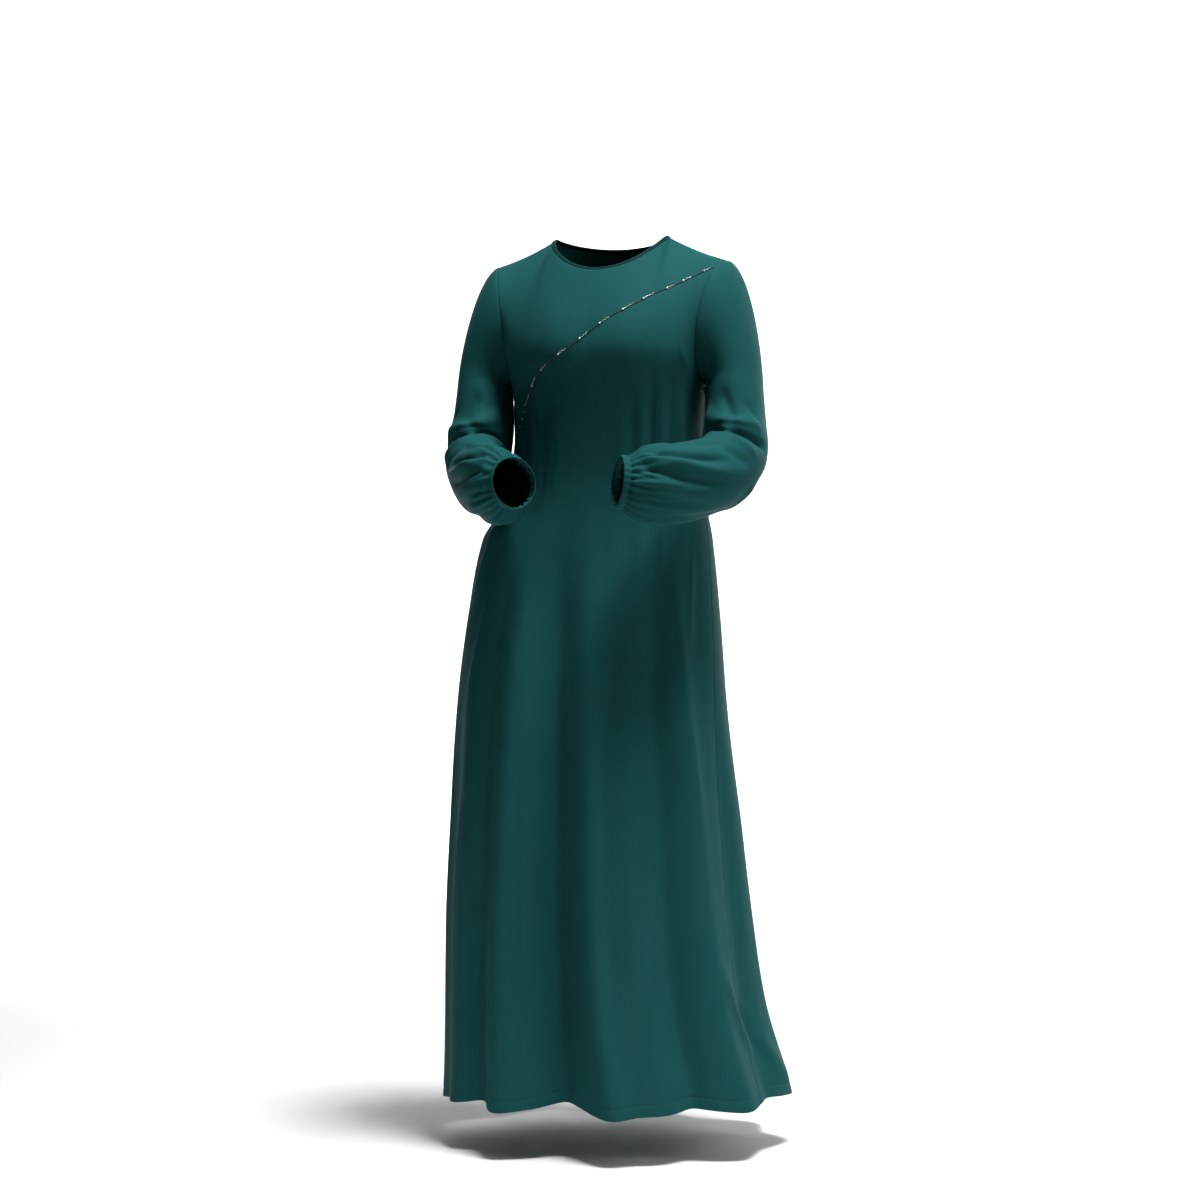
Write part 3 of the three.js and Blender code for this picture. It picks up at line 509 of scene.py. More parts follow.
def cut_of(points, wrap=False):
    """Width, length and area in metres of the flat piece that this cloth was cut from."""
    if wrap:
        points = np.concatenate([points, points[:, :1]], 1)
    along = np.linalg.norm(np.diff(points, axis=1), axis=-1)
    up = np.linalg.norm(np.diff(points, axis=0), axis=-1)
    first = np.cross(points[:-1, 1:] - points[:-1, :-1], points[1:, 1:] - points[:-1, :-1])
    second = np.cross(points[1:, 1:] - points[:-1, :-1], points[1:, :-1] - points[:-1, :-1])
    area = np.linalg.norm(first, axis=-1).sum() / 2 + np.linalg.norm(second, axis=-1).sum() / 2
    level = np.linalg.norm(np.diff(points[..., :2], axis=1), axis=-1)
    width = (along if wrap else level).sum(1).max() * MM
    length = up.sum(0).max() * MM
    area = float(area) * MM * MM
    return (float(max(width, area / length)), float(length)), area


def sheet_piece(piece, points, node, wrap=False):
    flat, area = cut_of(points, wrap)
    print(f"cut {piece.name}: {flat[0]:.3f} x {flat[1]:.3f} m, {area:.3f} m2")
    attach(piece, "root")
    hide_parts(node)


class Shade:
    """A socket of a material's nodes. Arithmetic on it adds Math nodes."""

    def __init__(self, tree, socket=None):
        self.tree = tree
        self.socket = socket

    def node(self, kind, settings=None, inputs=None, out=0):
        made = self.tree.nodes.new(kind)
        for key, value in (settings or {}).items():
            if key == "stops":
                for stop, (place, colour) in zip(made.color_ramp.elements, value):
                    stop.position = place
                    stop.color = colour
            else:
                setattr(made, key, value)
        for key, value in (inputs or {}).items():
            if isinstance(value, Shade):
                self.tree.links.new(value.socket, made.inputs[key])
            else:
                made.inputs[key].default_value = value
        return Shade(self.tree, made.outputs[out] if made.outputs else None)

    def maths(self, operation, first, second):
        return self.node("ShaderNodeMath", {"operation": operation}, {0: first, 1: second})

    def __add__(self, other):
        return self.maths("ADD", self, other)

    def __radd__(self, other):
        return self.maths("ADD", other, self)

    def __mul__(self, other):
        return self.maths("MULTIPLY", self, other)


def start_material(name):
    material = bpy.data.materials.new(name)
    material.use_nodes = True
    material.node_tree.nodes.clear()
    return material, Shade(material.node_tree)


KNIT_DEEP = (0.0098, 0.066, 0.0675, 1)
KNIT_PLAIN = (0.0130, 0.083, 0.0845, 1)
WALES_PER_METRE = 820
COURSES_PER_METRE = 1050
WAVES_PER_SCALE = 20


def knit_material(name, deep, plain):
    """Smooth heavy knit: fine wales and courses, a soft satin face and a faint cloudy tone."""
    material, shade = start_material(name)
    cloth = shade.node("ShaderNodeUVMap", {"uv_map": "cloth"})
    place = shade.node("ShaderNodeTexCoord", out=3)
    cloudy = shade.node(
        "ShaderNodeTexNoise", inputs={"Vector": place, "Scale": 9, "Detail": 5, "Roughness": 0.6}
    )
    mottled = shade.node(
        "ShaderNodeTexNoise", inputs={"Vector": place, "Scale": 420, "Detail": 2, "Roughness": 0.5}
    )
    tone = cloudy * 0.75 + mottled * 0.25
    colour = shade.node(
        "ShaderNodeMix",
        {"data_type": "RGBA"},
        {"Factor": tone, "A": deep, "B": plain},
        out=2,
    )
    wales = shade.node(
        "ShaderNodeTexWave",
        {"bands_direction": "X"},
        {
            "Vector": cloth,
            "Scale": WALES_PER_METRE / WAVES_PER_SCALE,
            "Distortion": 0.4,
            "Detail": 1,
        },
        out=1,
    )
    courses = shade.node(
        "ShaderNodeTexWave",
        {"bands_direction": "Y"},
        {
            "Vector": cloth,
            "Scale": COURSES_PER_METRE / WAVES_PER_SCALE,
            "Distortion": 0.6,
            "Detail": 1,
        },
        out=1,
    )
    height = wales * 0.6 + courses * 0.3 + mottled * 0.5
    bump = shade.node(
        "ShaderNodeBump", inputs={"Height": height, "Strength": 0.16, "Distance": 0.0004}
    )
    roughness = 0.5 + cloudy * 0.12
    cloth_face = shade.node(
        "ShaderNodeBsdfPrincipled",
        inputs={
            "Base Color": colour,
            "Roughness": roughness,
            "Normal": bump,
            "Specular IOR Level": 0.02,
            "Specular Tint": (0.3, 0.85, 0.83, 1),
            "Sheen Weight": 0.04,
            "Sheen Roughness": 0.4,
            "Sheen Tint": (0.15, 0.7, 0.68, 1),
        },
    )
    shade.node("ShaderNodeOutputMaterial", inputs={"Surface": cloth_face})
    return material


knit = knit_material("knit", KNIT_DEEP, KNIT_PLAIN)

FRONT_COLUMNS = 190
SKIRT_ROWS = 170
columns = steps_of(FRONT_COLUMNS, PANEL_WIDTH)
across = 2 * columns - 1
seam_ends = []
for end, z in ((-1.0, DIAGONAL_SIDE), (1.0, DIAGONAL_ARMHOLE)):
    spot = np.array([end])
    x = panel_point("front", spot, level_at("front", spot, float(z)))[0, 0]
    seam_ends.append(dict(x=float(x), z=z))
seam_height = curve_of([seam_ends[0], *DIAGONAL, seam_ends[1]], "x", "z")


def seam_level_at(across):
    """Level of the diagonal seam on each column of the front."""
    z = np.interp(across, [-1, 1], [DIAGONAL_SIDE, DIAGONAL_ARMHOLE])
    for _ in range(SEAM_ROUNDS):
        level = level_at("front", across, z)
        z = mix(z, seam_height(panel_point("front", across, level)[..., 0]), SEAM_PULL)
    return level_at("front", across, z)


seam_levels = seam_level_at(across)
seam_plain = plain_height("front", across, seam_levels)
skirt_rows = steps_of(SKIRT_ROWS, SKIRT_LENGTH, start=HEM_STEPS)[:, None]
hem_edge = foot_height("front", across)
skirt_level = plain_level("front", across[None], mix(hem_edge, seam_plain, skirt_rows))
skirt_level[-1] = seam_levels
skirt = soften(panel_point("front", across[None], skirt_level), across[None])


def hem_groove(rows, length):
    """The dip of the row of stitches that holds the turned hem."""
    return HEM_DIP * bell(rows * length - HEM_TURN, HEM_DIP_WIDTH)


skirt_dip = seam_dip(columns, PANEL_WIDTH)[None]
skirt_dip = skirt_dip + SEAM_DIP * bell((1 - skirt_rows) * SKIRT_LENGTH, SEAM_WIDTH)
skirt_dip = skirt_dip + hem_groove(skirt_rows, SKIRT_LENGTH)
front_skirt = shell("front_skirt_cloth", skirt, dip=skirt_dip)
front_skirt.data.materials.append(knit)
sheet_piece(front_skirt, skirt, "front_skirt")

# Front yoke: the upper front, above the diagonal seam, with both front shoulder edges.
# The same knit, sewn to the skirt panel along the seam and to the back at the shoulders.
YOKE_ROWS = 80
YOKE_LENGTH = 230
yoke_rows = steps_of(YOKE_ROWS, YOKE_LENGTH)[:, None]
top_edge = top_point("front", across)[:, 2]
yoke_level = plain_level("front", across[None], mix(seam_plain, top_edge, yoke_rows))
yoke_level[0] = seam_levels
yoke = soften(panel_point("front", across[None], yoke_level), across[None])
yoke_dip = seam_dip(columns, PANEL_WIDTH)[None] + seam_dip(yoke_rows, YOKE_LENGTH)
front_yoke = shell("front_yoke_cloth", yoke, dip=yoke_dip)
front_yoke.data.materials.append(knit)
sheet_piece(front_yoke, yoke, "front_yoke")

# Back: one whole panel from the neck and shoulders to the hem, of the same knit.
# It is sewn to the front at the sides and shoulders, and its hem is turned as the front's.
BACK_LENGTH = 1370
BACK_COLUMNS = 160
BACK_ROWS = 210
back_columns = steps_of(BACK_COLUMNS, PANEL_WIDTH)
back_across = 2 * back_columns - 1
back_rows = steps_of(BACK_ROWS, BACK_LENGTH, start=HEM_STEPS)[:, None]
back_foot = foot_height("back", back_across)
back_top = top_point("back", back_across)[:, 2]
back_level = plain_level("back", back_across[None], mix(back_foot, back_top, back_rows))
back = soften(panel_point("back", back_across[None], back_level), back_across[None])
back_dip = seam_dip(back_columns, PANEL_WIDTH)[None]
back_dip = back_dip + SEAM_DIP * bell((1 - back_rows) * BACK_LENGTH, SEAM_WIDTH)
back_dip = back_dip + hem_groove(back_rows, BACK_LENGTH)
back_panel = shell("back_panel_cloth", back, flip=True, dip=back_dip)
back_panel.data.materials.append(knit)
sheet_piece(back_panel, back, "back_panel")

# Sleeves: set-in tubes of the same knit, plain at the cap and full below the elbow. Each is
# sewn round its armhole and gathered into its cuff. It is kept in the form of a bent arm, so it
# folds at the elbow and its lower half hangs as a soft puff.
# Rings of the sleeves from below the cap to the wrist: middle, half size across, and half size
# from the front or top to the back or underside
SLEEVE_LEFT = [
    dict(x=206, y=-14, z=-240, across=42, depth=64),
    dict(x=210, y=-28, z=-288, across=45, depth=61),
    dict(x=214, y=-49, z=-330, across=49, depth=59),
    dict(x=211, y=-78, z=-357, across=51, depth=56),
    dict(x=197, y=-114, z=-374, across=52, depth=58),
    dict(x=172, y=-151, z=-387, across=53, depth=61),
    dict(x=145, y=-181, z=-394, across=55, depth=62),
    dict(x=119, y=-202, z=-396, across=54, depth=60),
    dict(x=96, y=-217, z=-395, across=47, depth=52),
    dict(x=80, y=-226, z=-393, across=37, depth=39),
]
SLEEVE_RIGHT = [
    dict(x=-208, y=-14, z=-240, across=42, depth=64),
    dict(x=-207, y=-28, z=-288, across=46, depth=61),
    dict(x=-208, y=-49, z=-329, across=48, depth=58),
    dict(x=-202, y=-77, z=-354, across=49, depth=55),
    dict(x=-188, y=-111, z=-371, across=48, depth=57),
    dict(x=-167, y=-148, z=-385, across=50, depth=60),
    dict(x=-146, y=-180, z=-392, across=53, depth=62),
    dict(x=-127, y=-204, z=-395, across=53, depth=60),
    dict(x=-111, y=-222, z=-394, across=47, depth=52),
    dict(x=-99, y=-234, z=-393, across=37, depth=39),
]
# Creases between two places: p is the share of the sleeve's length below its cap, t the degrees
# round it (0 inner side, 90 front or top, 180 outer side, 270 back or underside)
SLEEVE_LENGTH = 360
SLEEVE_CREASES = [
    dict(p0=-0.16, t0=5, p1=0.34, t1=6, width=22, depth=4.5),
    dict(p0=0.06, t0=350, p1=0.62, t1=352, width=18, depth=2.5),
    dict(p0=0.02, t0=74, p1=0.21, t1=104, width=12, depth=-4.0),
    dict(p0=0.08, t0=118, p1=0.23, t1=165, width=9, depth=-3.0),
    dict(p0=0.10, t0=22, p1=0.23, t1=96, width=14, depth=6.0),
    dict(p0=0.24, t0=84, p1=0.17, t1=172, width=13, depth=6.0),
    dict(p0=0.21, t0=0, p1=0.33, t1=96, width=7.5, depth=-12.0),
    dict(p0=0.33, t0=80, p1=0.26, t1=182, width=7, depth=-11.0),
    dict(p0=0.31, t0=15, p1=0.41, t1=88, width=10, depth=4.0),
    dict(p0=0.41, t0=88, p1=0.34, t1=170, width=9, depth=4.5),
    dict(p0=0.40, t0=172, p1=0.50, t1=110, width=8, depth=-3.6),
    dict(p0=0.45, t0=150, p1=0.92, t1=96, width=8, depth=-7.0),
    dict(p0=0.42, t0=118, p1=0.76, t1=70, width=9, depth=-5.5),
    dict(p0=0.50, t0=178, p1=0.97, t1=130, width=8, depth=-7.5),
    dict(p0=0.44, t0=170, p1=0.80, t1=118, width=9, depth=5.0),
    dict(p0=0.60, t0=144, p1=0.97, t1=112, width=7, depth=3.6),
    dict(p0=0.55, t0=208, p1=0.97, t1=166, width=10, depth=-4.6),
    dict(p0=0.45, t0=244, p1=0.96, t1=205, width=13, depth=-6.5),
    dict(p0=0.40, t0=290, p1=0.95, t1=300, width=13, depth=-5.5),
    dict(p0=0.60, t0=20, p1=0.97, t1=15, width=9, depth=-3.4),
    dict(p0=0.50, t0=56, p1=0.93, t1=48, width=8, depth=-4.4),
    dict(p0=0.62, t0=92, p1=0.95, t1=72, width=7, depth=3.2),
    dict(p0=0.74, t0=76, p1=0.99, t1=66, width=4.5, depth=-3.2),
    dict(p0=0.78, t0=118, p1=0.99, t1=108, width=4.5, depth=-3.2),
    dict(p0=0.80, t0=158, p1=0.99, t1=147, width=4.5, depth=-3.4),
    dict(p0=0.75, t0=196, p1=0.99, t1=186, width=5, depth=-3.4),
    dict(p0=0.80, t0=236, p1=0.99, t1=230, width=5, depth=-3.0),
    dict(p0=0.76, t0=326, p1=0.99, t1=332, width=5, depth=-3.2),
    dict(p0=0.30, t0=200, p1=0.40, t1=268, width=9, depth=-4.0),
    dict(p0=0.36, t0=196, p1=0.47, t1=262, width=9, depth=3.5),
]
SLEEVE_FADE = 0.3
# The cap leaves the armhole sideways, a little downwards, and bends into the tube's direction
CAP_LENGTH = 150
CAP_LEAVE_LOW = 1.2
CAP_LEAVE_TOP = 0.55
CAP_ARRIVE = 0.9
CAP_SLOPE = 0.3
CAP_CREASE_SHARE = 0.62
CAP_CREASE_FADE = 3
GATHERS = 24
GATHER_DEPTH = 1.5
GATHER_START = 0.62
GATHER_DRIFT = 0.35
GATHER_ROUNDNESS = 0.8
# Each sleeve: its side, its rings, and a number that makes its uneven gathers its own
SLEEVES = ((LEFT, SLEEVE_LEFT, 1.3), (RIGHT, SLEEVE_RIGHT, 4.2))
END_PLACES = (0.994, 0.997, 1.0)
PATH_STEP = 1e-3
SLEEVE_COLUMNS = 256
CAP_ROWS = 44
TUBE_ROWS = 110


def sleeve_depth(place, turn):
    """Height of the creases at a place along the sleeve and degrees round it."""
    total = np.zeros(np.broadcast(place, turn).shape)
    for crease in SLEEVE_CREASES:
        along = (crease["p1"] - crease["p0"]) * SLEEVE_LENGTH
        round_it = crease["t1"] - crease["t0"]
        length = math.hypot(along, round_it)
        u = (place - crease["p0"]) * SLEEVE_LENGTH
        w = apart(turn, crease["t0"] + round_it / 2) + round_it / 2
        run = (u * along + w * round_it) / length**2
        beside = (u * round_it - w * along) / length
        ends = smooth(run / SLEEVE_FADE) * smooth((1 - run) / SLEEVE_FADE)
        total += crease["depth"] * ends * bell(beside, crease["width"])
    return total


def gather_shape(turn, seed):
    """Uneven rounded gathers: height from -1 to 1 by radians round the sleeve."""
    drift = 0.22 * np.sin(2 * turn + seed) + 0.16 * np.sin(3 * turn + 2.1 * seed)
    wave = np.cos(GATHERS * (turn + drift * GATHER_DRIFT))
    return signed_power(wave, GATHER_ROUNDNESS)


def placed(stations):
    return [dict(row, place=i / (len(stations) - 1)) for i, row in enumerate(stations)]


def path_of(rows, places):
    return np.stack([curve_of(rows, "place", axis)(places) for axis in "xyz"], -1)


def tube_rings(side, rows, places):
    """Middles of a sleeve's rings, with their directions ahead, outward and back."""
    direction = unit(path_of(rows, places + PATH_STEP) - path_of(rows, places - PATH_STEP))
    outward = np.array([float(side), 0, 0])
    outs = []
    for step in direction:
        outward = unit(outward - outward.dot(step) * step)
        outs.append(outward)
    outs = np.array(outs)
    backs = np.cross(outs, direction) * side
    return path_of(rows, places), direction, outs, backs


def sleeve_points(side, stations, seed):
    """Grid of the sleeve's cloth from the armhole to the cuff, and how far its seam dips."""
    rows = placed(stations)
    turn = np.linspace(0, 2 * np.pi, SLEEVE_COLUMNS, endpoint=False)
    places = np.concatenate([np.linspace(0, 1, TUBE_ROWS)[:-1], END_PLACES])
    path, direction, outs, backs = tube_rings(side, rows, places)
    half_across = curve_of(rows, "place", "across")(places)[:, None]
    half_depth = curve_of(rows, "place", "depth")(places)[:, None]
    gather = smooth((places - GATHER_START) / (1 - GATHER_START))[:, None]
    pleat = GATHER_DEPTH * gather * gather_shape(turn, seed)[None]
    swell = pleat + sleeve_depth(places[:, None], np.degrees(turn)[None])
    tube = path[:, None]
    tube = tube - outs[:, None] * ((half_across + swell) * np.cos(turn)[None])[..., None]
    tube = tube - backs[:, None] * ((half_depth + swell) * np.sin(turn)[None])[..., None]
    front = armhole_point(side, "front", turn)
    rear = armhole_point(side, "back", 2 * np.pi - turn)
    armhole = np.where((turn <= np.pi)[:, None], front, rear)
    u = steps_of(CAP_ROWS, CAP_LENGTH, end=(0,))[:-1, None, None]
    first = tube[0][None]
    length = np.linalg.norm(first - armhole[None], axis=-1, keepdims=True)
    leave = unit(np.array([side, 0, -CAP_SLOPE]))
    cap = mix(armhole[None], first, u * u * (3 - 2 * u))
    strength = mix(CAP_LEAVE_LOW, CAP_LEAVE_TOP, (1 - np.cos(turn)) / 2)[None, :, None]
    cap = cap + leave * strength * length * u * (1 - u) ** 2
    cap = cap - direction[0] * CAP_ARRIVE * length * u * u * (1 - u)
    place_back = (u[..., 0] - 1) * CAP_CREASE_SHARE
    crease = sleeve_depth(place_back, np.degrees(turn)[None])
    crease = crease * smooth(u[..., 0] * CAP_CREASE_FADE)
    away = unit(cap - cap.mean(1, keepdims=True))
    cap = cap + away * crease[..., None]
    points = np.concatenate([cap, tube])
    dips = np.zeros((len(points), SLEEVE_COLUMNS))
    dips[: len(u)] = SEAM_DIP * bell(u[..., 0] * CAP_LENGTH, SEAM_WIDTH)
    return points, dips


def side_name(side):
    return "left" if side == LEFT else "right"


for side, stations, seed in SLEEVES:
    points, dips = sleeve_points(side, stations, seed)
    name = "sleeve_" + side_name(side)
    piece = shell(name + "_cloth", points, wrap=True, flip=side == LEFT, dip=dips)
    piece.data.materials.append(knit)
    sheet_piece(piece, points, name, wrap=True)

# Cuffs: narrow casings of the same knit, sewn to the sleeves' ends over elastic, which draws
# each sleeve into gathers. A cuff stands a little proud between its two edges.
CUFF_WIDTH = 12
CUFF_SWELL = 1.6
CUFF_ROWS = 18
# The elastic leaves this share of the gathers, and draws them in over a part of the cuff
CUFF_GATHER_SHARE = 0.25
CUFF_DRAW_RATE = 5
for side, stations, seed in SLEEVES:
    turn = np.linspace(0, 2 * np.pi, SLEEVE_COLUMNS, endpoint=False)
    places = np.linspace(0, 1, TUBE_ROWS)
    path, direction, outs, backs = tube_rings(side, placed(stations), places)
    share = np.linspace(0, 1, CUFF_ROWS)
    swell = CUFF_SWELL * np.sin(np.pi * share)[:, None]
    drawn = mix(1, CUFF_GATHER_SHARE, smooth(share * CUFF_DRAW_RATE))[:, None]
    swell = swell + GATHER_DEPTH * drawn * gather_shape(turn, seed)[None]
    centre = path[-1] + direction[-1] * CUFF_WIDTH * share[:, None]
    points = centre[:, None]
    points = points - outs[-1] * ((stations[-1]["across"] + swell) * np.cos(turn))[..., None]
    points = points - backs[-1] * ((stations[-1]["depth"] + swell) * np.sin(turn))[..., None]
    name = "cuff_" + side_name(side)
    piece = shell(name + "_cloth", points, wrap=True, flip=side == LEFT)
    piece.data.materials.append(knit)
    sheet_piece(piece, points, name, wrap=True)

# Neck binding: a narrow strip of the knit folded over the neck edge and stitched down.
# It lies a little thicker and darker than the panels and turns up towards the neck.
BINDING_WIDTH = 7
BINDING_THICKNESS = 2.4
BINDING_SLOPE = 0.6
BINDING_GAP = 0.4
BINDING_EDGE = 0.9
BINDING_COLUMNS = 120
BINDING_ROWS = 12
BINDING_DEEP = (0.003, 0.022, 0.022, 1)
BINDING_PLAIN = (0.005, 0.032, 0.032, 1)
binding_knit = knit_material("binding_knit", BINDING_DEEP, BINDING_PLAIN)


def neck_edge(places):
    """Points of the neck edge by places 0 to 1, round the front and then the back."""
    front_half = places < 0.5
    spot = np.where(front_half, mix(-1, 1, places * 2), mix(1, -1, places * 2 - 1)) * NECK_SHARE
    return np.where(front_half[:, None], top_point("front", spot), top_point("back", spot))


neck_places = np.linspace(0, 1, BINDING_COLUMNS, endpoint=False)
edge = neck_edge(neck_places)
inward = unit(-edge * (1, 1, 0)) + (0, 0, BINDING_SLOPE)
inward = unit(inward)
binding_share = np.linspace(0, 1, BINDING_ROWS)[:, None, None]
binding = edge[None] + inward[None] * (BINDING_GAP + BINDING_WIDTH * binding_share)
binding_round = np.sin(np.pi * np.clip(binding_share[..., 0], 0.02, 0.98)) ** 0.4
binding_dip = BINDING_EDGE * (1 - binding_round)
binding_dip = binding_dip + np.zeros((1, BINDING_COLUMNS))
neck_binding = shell("neck_binding_cloth", binding, BINDING_THICKNESS, wrap=True, dip=binding_dip)
neck_binding.data.materials.append(binding_knit)
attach(neck_binding, "root")
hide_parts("neck_binding")

# Seam cord and beads: a thin dark twisted cord couched along the diagonal seam, with small
# silver glass beads sewn on in uneven groups: one round bead, then a tail of slim dull ones.
CORD_RADIUS = 0.7
CORD_SIDES = 12
CORD_TWISTS_PER_METRE = 260
CORD_STRAND = 0.16
CORD_SUNK = 0.1
CORD_ENDS = (-0.995, 0.985)
CORD_POINTS = 700
SHORT_STEP = 0.004
BEAD_RUN_GAP = 19.0
BEAD_PITCH = 2.7
LEAD_BEAD = (1.8, 1.6, 1.6)
TAIL_BEAD = (1.15, 0.68, 0.68)
# Beads run from the low end of the seam. Along its first part they are single. Further up
# they come in groups, which vary in number, gap, sway from side to side and size.
BEAD_START = 6.0
BEAD_END = 5
GROUP_END = 3
SINGLE_PART = 150
SINGLE_GAP_SHARE = 0.55
GROUP_SIZES = (6, 9)
GAP_SPREAD = (0.75, 1.35)
SWAY_SPREAD = (0.4, 1.8)
SIZE_SPREAD = (0.8, 1.15)
BEAD_SEAT = 0.8


def run_of(points):
    """Distance along a line of points to each of them, in millimetres."""
    return np.concatenate([[0], np.linalg.norm(np.diff(points, axis=0), axis=-1).cumsum()])


def point_at(here, run, points):
    return np.array([np.interp(here, run, points[:, i]) for i in range(3)])


seam_across = np.linspace(*CORD_ENDS, CORD_POINTS)
seam_level = np.interp(seam_across, across, seam_levels)
seam_line = panel_point("front", seam_across, seam_level)
above = panel_point("front", seam_across, seam_level + SHORT_STEP)
beside = panel_point("front", seam_across + SHORT_STEP, seam_level)
seam_out = unit(np.cross(beside - seam_line, above - seam_line))
seam_along = unit(np.gradient(seam_line, axis=0))
seam_side = np.cross(seam_out, seam_along)
seam_run = run_of(seam_line)
cord_turn = np.linspace(0, 2 * np.pi, CORD_SIDES, endpoint=False)
twist = seam_run[:, None] * MM * CORD_TWISTS_PER_METRE * 2 * np.pi
strand = 1 + CORD_STRAND * np.cos(2 * cord_turn[None] + twist)
cord_seat = seam_line + seam_out * (CLOTH / 2 - CORD_SUNK + CORD_RADIUS)
cord = cord_seat[:, None]
cord = cord + seam_side[:, None] * (CORD_RADIUS * strand * np.cos(cord_turn))[..., None]
cord = cord + seam_out[:, None] * (CORD_RADIUS * strand * np.sin(cord_turn))[..., None]


def closed_tube(name, rings):
    """A tube round rings of points, closed by a flat face at each end."""
    rows, sides = rings.shape[:2]
    index = np.arange(rows * sides).reshape(rows, sides)
    index = np.concatenate([index, index[:, :1]], 1)
    faces = quads_of(index).tolist()
    faces.append(index[0, :-1][::-1].tolist())
    faces.append(index[-1, :-1].tolist())
    return make_mesh(name, rings.reshape(-1, 3), faces)


def plain_material(name, colour, roughness, metallic=0.0, vary=0.0, coat=0.0):
    """A fine-grained finish whose tone wanders a little from spot to spot."""
    material, shade = start_material(name)
    place = shade.node("ShaderNodeTexCoord", out=3)
    grain = shade.node("ShaderNodeTexNoise", inputs={"Vector": place, "Scale": 700, "Detail": 2})
    low = tuple(c * (1 - vary) for c in colour) + (1,)
    high = tuple(min(c * (1 + vary), 1) for c in colour) + (1,)
    tone = shade.node(
        "ShaderNodeMix", {"data_type": "RGBA"}, {"Factor": grain, "A": low, "B": high}, out=2
    )
    bump = shade.node(
        "ShaderNodeBump", inputs={"Height": grain, "Strength": 0.2, "Distance": 0.0002}
    )
    face = shade.node(
        "ShaderNodeBsdfPrincipled",
        inputs={
            "Base Color": tone,
            "Roughness": roughness,
            "Metallic": metallic,
            "Coat Weight": coat,
            "Normal": bump,
        },
    )
    shade.node("ShaderNodeOutputMaterial", inputs={"Surface": face})
    return material


cord_piece = closed_tube("seam_cord", cord)
cord_thread = plain_material("cord_thread", (0.02, 0.045, 0.05), roughness=0.6, vary=0.4)
cord_piece.data.materials.append(cord_thread)
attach(cord_piece, "root")
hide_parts("seam_trim")


def bead_mesh(rings=8, sides=10):
    """A ball of radius 1 as rings of points, with its two poles."""
    tilt = np.linspace(0, np.pi, rings + 1)[1:-1]
    turn = np.linspace(0, 2 * np.pi, sides, endpoint=False)
    ring = np.stack(
        [
            np.cos(tilt)[:, None] + 0 * turn[None],
            np.sin(tilt)[:, None] * np.cos(turn),
            np.sin(tilt)[:, None] * np.sin(turn),
        ],
        -1,
    ).reshape(-1, 3)
    vertices = np.concatenate([[[1.0, 0, 0]], ring, [[-1.0, 0, 0]]])
    faces = []
    for k in range(sides):
        j = (k + 1) % sides
        faces.append([0, 1 + k, 1 + j])
        for r in range(rings - 2):
            low = 1 + r * sides
            faces.append([low + k, low + sides + k, low + sides + j, low + j])
        low = 1 + (rings - 2) * sides
        faces.append([len(vertices) - 1, low + j, low + k])
    return vertices, faces


def join_beads(name, spots):
    """One mesh of beads or stitches, each from a centre, three directions and half sizes."""
    base, base_faces = bead_mesh()
    vertices = []
    faces = []
    for centre, axes, half in spots:
        start = sum(len(part) for part in vertices)
        vertices.append(centre + (base * np.array(half)) @ axes)
        faces += [[corner + start for corner in face] for face in base_faces]
    return make_mesh(name, np.concatenate(vertices), faces)


chance = np.random.default_rng(7)
bead_spots = []
run = BEAD_START
while run < seam_run[-1] - BEAD_END:
    single = run < SINGLE_PART
    group = 1 if single else int(chance.integers(*GROUP_SIZES))
    for k in range(group):
        here = run + k * BEAD_PITCH
        if here > seam_run[-1] - GROUP_END:
            break
        centre = point_at(here, seam_run, cord_seat)
        i = int(np.argmin(np.abs(seam_run - here)))
        axes = np.stack([seam_along[i], seam_side[i], seam_out[i]])
        sway = (0.5 if k % 2 else -0.5) * chance.uniform(*SWAY_SPREAD)
        size = LEAD_BEAD if k == 0 and not single else TAIL_BEAD
        half = np.array(size) * chance.uniform(*SIZE_SPREAD)
        seat = centre + seam_out[i] * (CORD_RADIUS * BEAD_SEAT) + seam_side[i] * sway
        bead_spots.append((seat, axes, half))
    pause = BEAD_RUN_GAP * (SINGLE_GAP_SHARE if single else chance.uniform(*GAP_SPREAD))
    run += group * BEAD_PITCH + pause
beads = join_beads("seam_beads", bead_spots)
silver = plain_material(
    "silver_bead", (0.66, 0.72, 0.72), roughness=0.28, metallic=0.45, vary=0.2, coat=0.3
)
beads.data.materials.append(silver)
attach(beads, "root")

# Stitches: one row of thread round the hem, seventeen millimetres up, and one round the neck on
# the binding, near its lower edge. Each stitch is a short rounded length sunk in the knit.
HEM_STITCH = 3.6
NECK_STITCH = 2.8
THREAD_HALF = (1.25, 0.26, 0.2)
THREAD_PROUD = 0.08
NECK_STITCH_ROW = 3


def stitch_row(points, outs, pitch, closed):
    """Stitches spaced along a line of points on the face of the cloth."""
    if closed:
        points = np.concatenate([points, points[:1]])
        outs = np.concatenate([outs, outs[:1]])
    run_at = run_of(points)
    spots = []
    for here in np.arange(pitch / 2, run_at[-1], pitch):
        centre = point_at(here, run_at, points)
        i = min(int(np.searchsorted(run_at, here)), len(points) - 1)
        along = unit(points[i] - points[i - 1])
        out = unit(outs[i] - outs[i].dot(along) * along)
        spots.append((centre, np.stack([along, np.cross(out, along), out]), THREAD_HALF))
    return spots


def face_line(points, dip, row_place, rows, flip):
    """The outer face's points and directions along one height of a panel's grid."""
    normal = normals_of(points, False) * (-1 if flip else 1)
    face = points + normal * (CLOTH / 2 - dip + THREAD_PROUD)[..., None]
    k = int(np.argmin(np.abs(rows - row_place)))
    return face[k], normal[k]


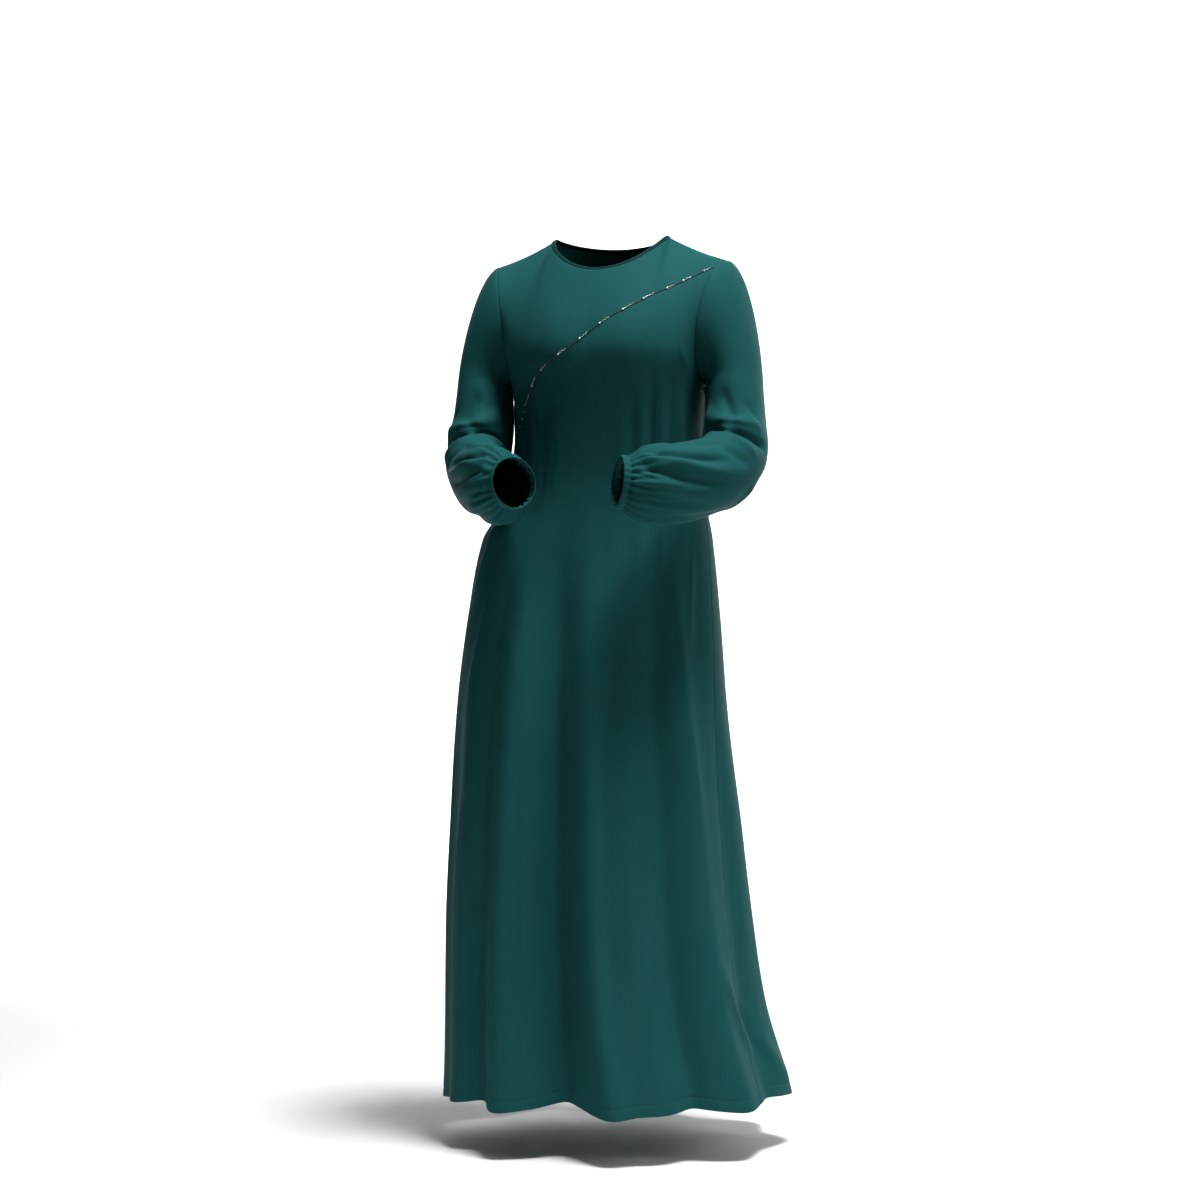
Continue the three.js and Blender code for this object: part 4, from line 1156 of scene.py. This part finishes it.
thread_spots = []
front_line = face_line(skirt, skirt_dip, HEM_TURN / SKIRT_LENGTH, skirt_rows[:, 0], False)
back_line = face_line(back, back_dip, HEM_TURN / BACK_LENGTH, back_rows[:, 0], True)
thread_spots += stitch_row(*front_line, HEM_STITCH, False)
thread_spots += stitch_row(*back_line, HEM_STITCH, False)
thread = plain_material("thread", (0.006, 0.036, 0.036), roughness=0.55, vary=0.3)
stitches = join_beads("hem_stitches", thread_spots)
stitches.data.materials.append(thread)
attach(stitches, "root")
binding_out = normals_of(binding, True)
binding_rise = BINDING_THICKNESS / 2 - binding_dip + THREAD_PROUD
binding_line = (binding + binding_out * binding_rise[..., None])[NECK_STITCH_ROW]
neck_spots = stitch_row(binding_line, binding_out[NECK_STITCH_ROW], NECK_STITCH, True)
neck_stitches = join_beads("neck_stitches", neck_spots)
neck_stitches.data.materials.append(thread)
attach(neck_stitches, "root")

# Floor: a plain pale ground just below the hem, curving up far behind into a plain wall.
FLOOR_HEIGHT = -1432
FLOOR_FRONT = -9000
FLOOR_BACK = 4200
WALL_BEND = 1500
WALL_TOP = 6500
FLOOR_HALF = 9000
bend = np.linspace(0, np.pi / 2, 25)
profile = [(FLOOR_FRONT, FLOOR_HEIGHT)]
for turn_up in bend:
    y = FLOOR_BACK + WALL_BEND * math.sin(turn_up)
    profile.append((y, FLOOR_HEIGHT + WALL_BEND * (1 - math.cos(turn_up))))
profile.append((FLOOR_BACK + WALL_BEND, WALL_TOP))
ground = np.array([[(x, y, z) for x in (-FLOOR_HALF, FLOOR_HALF)] for y, z in profile], float)
ground_faces = [[2 * k, 2 * k + 1, 2 * k + 3, 2 * k + 2] for k in range(len(profile) - 1)]
floor = make_mesh("floor", ground.reshape(-1, 3), ground_faces)
pale = plain_material("pale_floor", (0.9, 0.9, 0.9), roughness=0.9, vary=0.01)
floor.data.materials.append(pale)

# Light: one strong lamp high above the front on the wearer's left, one weak fill far out on
# that side a little above the neck, and two washes for the wall behind. The room is nearly dark.
LIGHTS = [
    dict(name="key", place=(0.85, -0.75, 3.5), aim=(0, 0, -0.6), size=1.1, spread=75, power=50),
    dict(name="fill", place=(3.0, -0.6, 0.6), aim=(0, 0, -0.8), size=1.6, spread=80, power=5),
    dict(name="wall_left", place=(2.8, 2.6, 3.6), aim=(1.8, 5.7, 0.3), size=2, spread=120, power=260),
    dict(name="wall_right", place=(-2.8, 2.6, 3.6), aim=(-1.8, 5.7, 0.3), size=2, spread=120, power=260),
]
ROOM_STRENGTH = 0.06
for row in LIGHTS:
    lamp = bpy.data.lights.new(row["name"], "AREA")
    lamp.energy = row["power"]
    lamp.shape = "SQUARE"
    lamp.size = row["size"]
    lamp.spread = math.radians(row["spread"])
    holder = bpy.data.objects.new(row["name"], lamp)
    place = np.array(row["place"])
    toward = np.array(row["aim"]) - place
    holder.location = place
    yaw = math.atan2(toward[0], toward[1])
    tilt = math.atan2(math.hypot(toward[0], toward[1]), -toward[2])
    holder.rotation_euler = (tilt, 0, -yaw)
    bpy.context.scene.collection.objects.link(holder)
world = bpy.data.worlds.new("pale_room")
world.use_nodes = True
background = world.node_tree.nodes["Background"]
background.inputs["Color"].default_value = (1, 1, 1, 1)
background.inputs["Strength"].default_value = ROOM_STRENGTH
bpy.context.scene.world = world

# Camera: level, in front and a little to the wearer's left, framed as the photograph is.
CAMERA_TURN = math.radians(15)
CAMERA_DISTANCE = 4.5
CAMERA_ASIDE = -0.019
CAMERA_HEIGHT = -0.571
PIXEL_SIZE = 0.0016
IMAGE_PIXELS = 1200
SENSOR = 36
right_x, right_y = math.cos(CAMERA_TURN), math.sin(CAMERA_TURN)
camera = bpy.data.cameras.new("camera")
camera.sensor_width = SENSOR
camera.lens = SENSOR * CAMERA_DISTANCE / (PIXEL_SIZE * IMAGE_PIXELS)
camera_holder = bpy.data.objects.new("camera", camera)
camera_holder.location = (
    right_x * CAMERA_ASIDE + right_y * CAMERA_DISTANCE,
    right_y * CAMERA_ASIDE - right_x * CAMERA_DISTANCE,
    CAMERA_HEIGHT,
)
camera_holder.rotation_euler = (math.pi / 2, 0, CAMERA_TURN)
bpy.context.scene.collection.objects.link(camera_holder)
bpy.context.scene.camera = camera_holder
bpy.context.scene.view_settings.view_transform = "Standard"
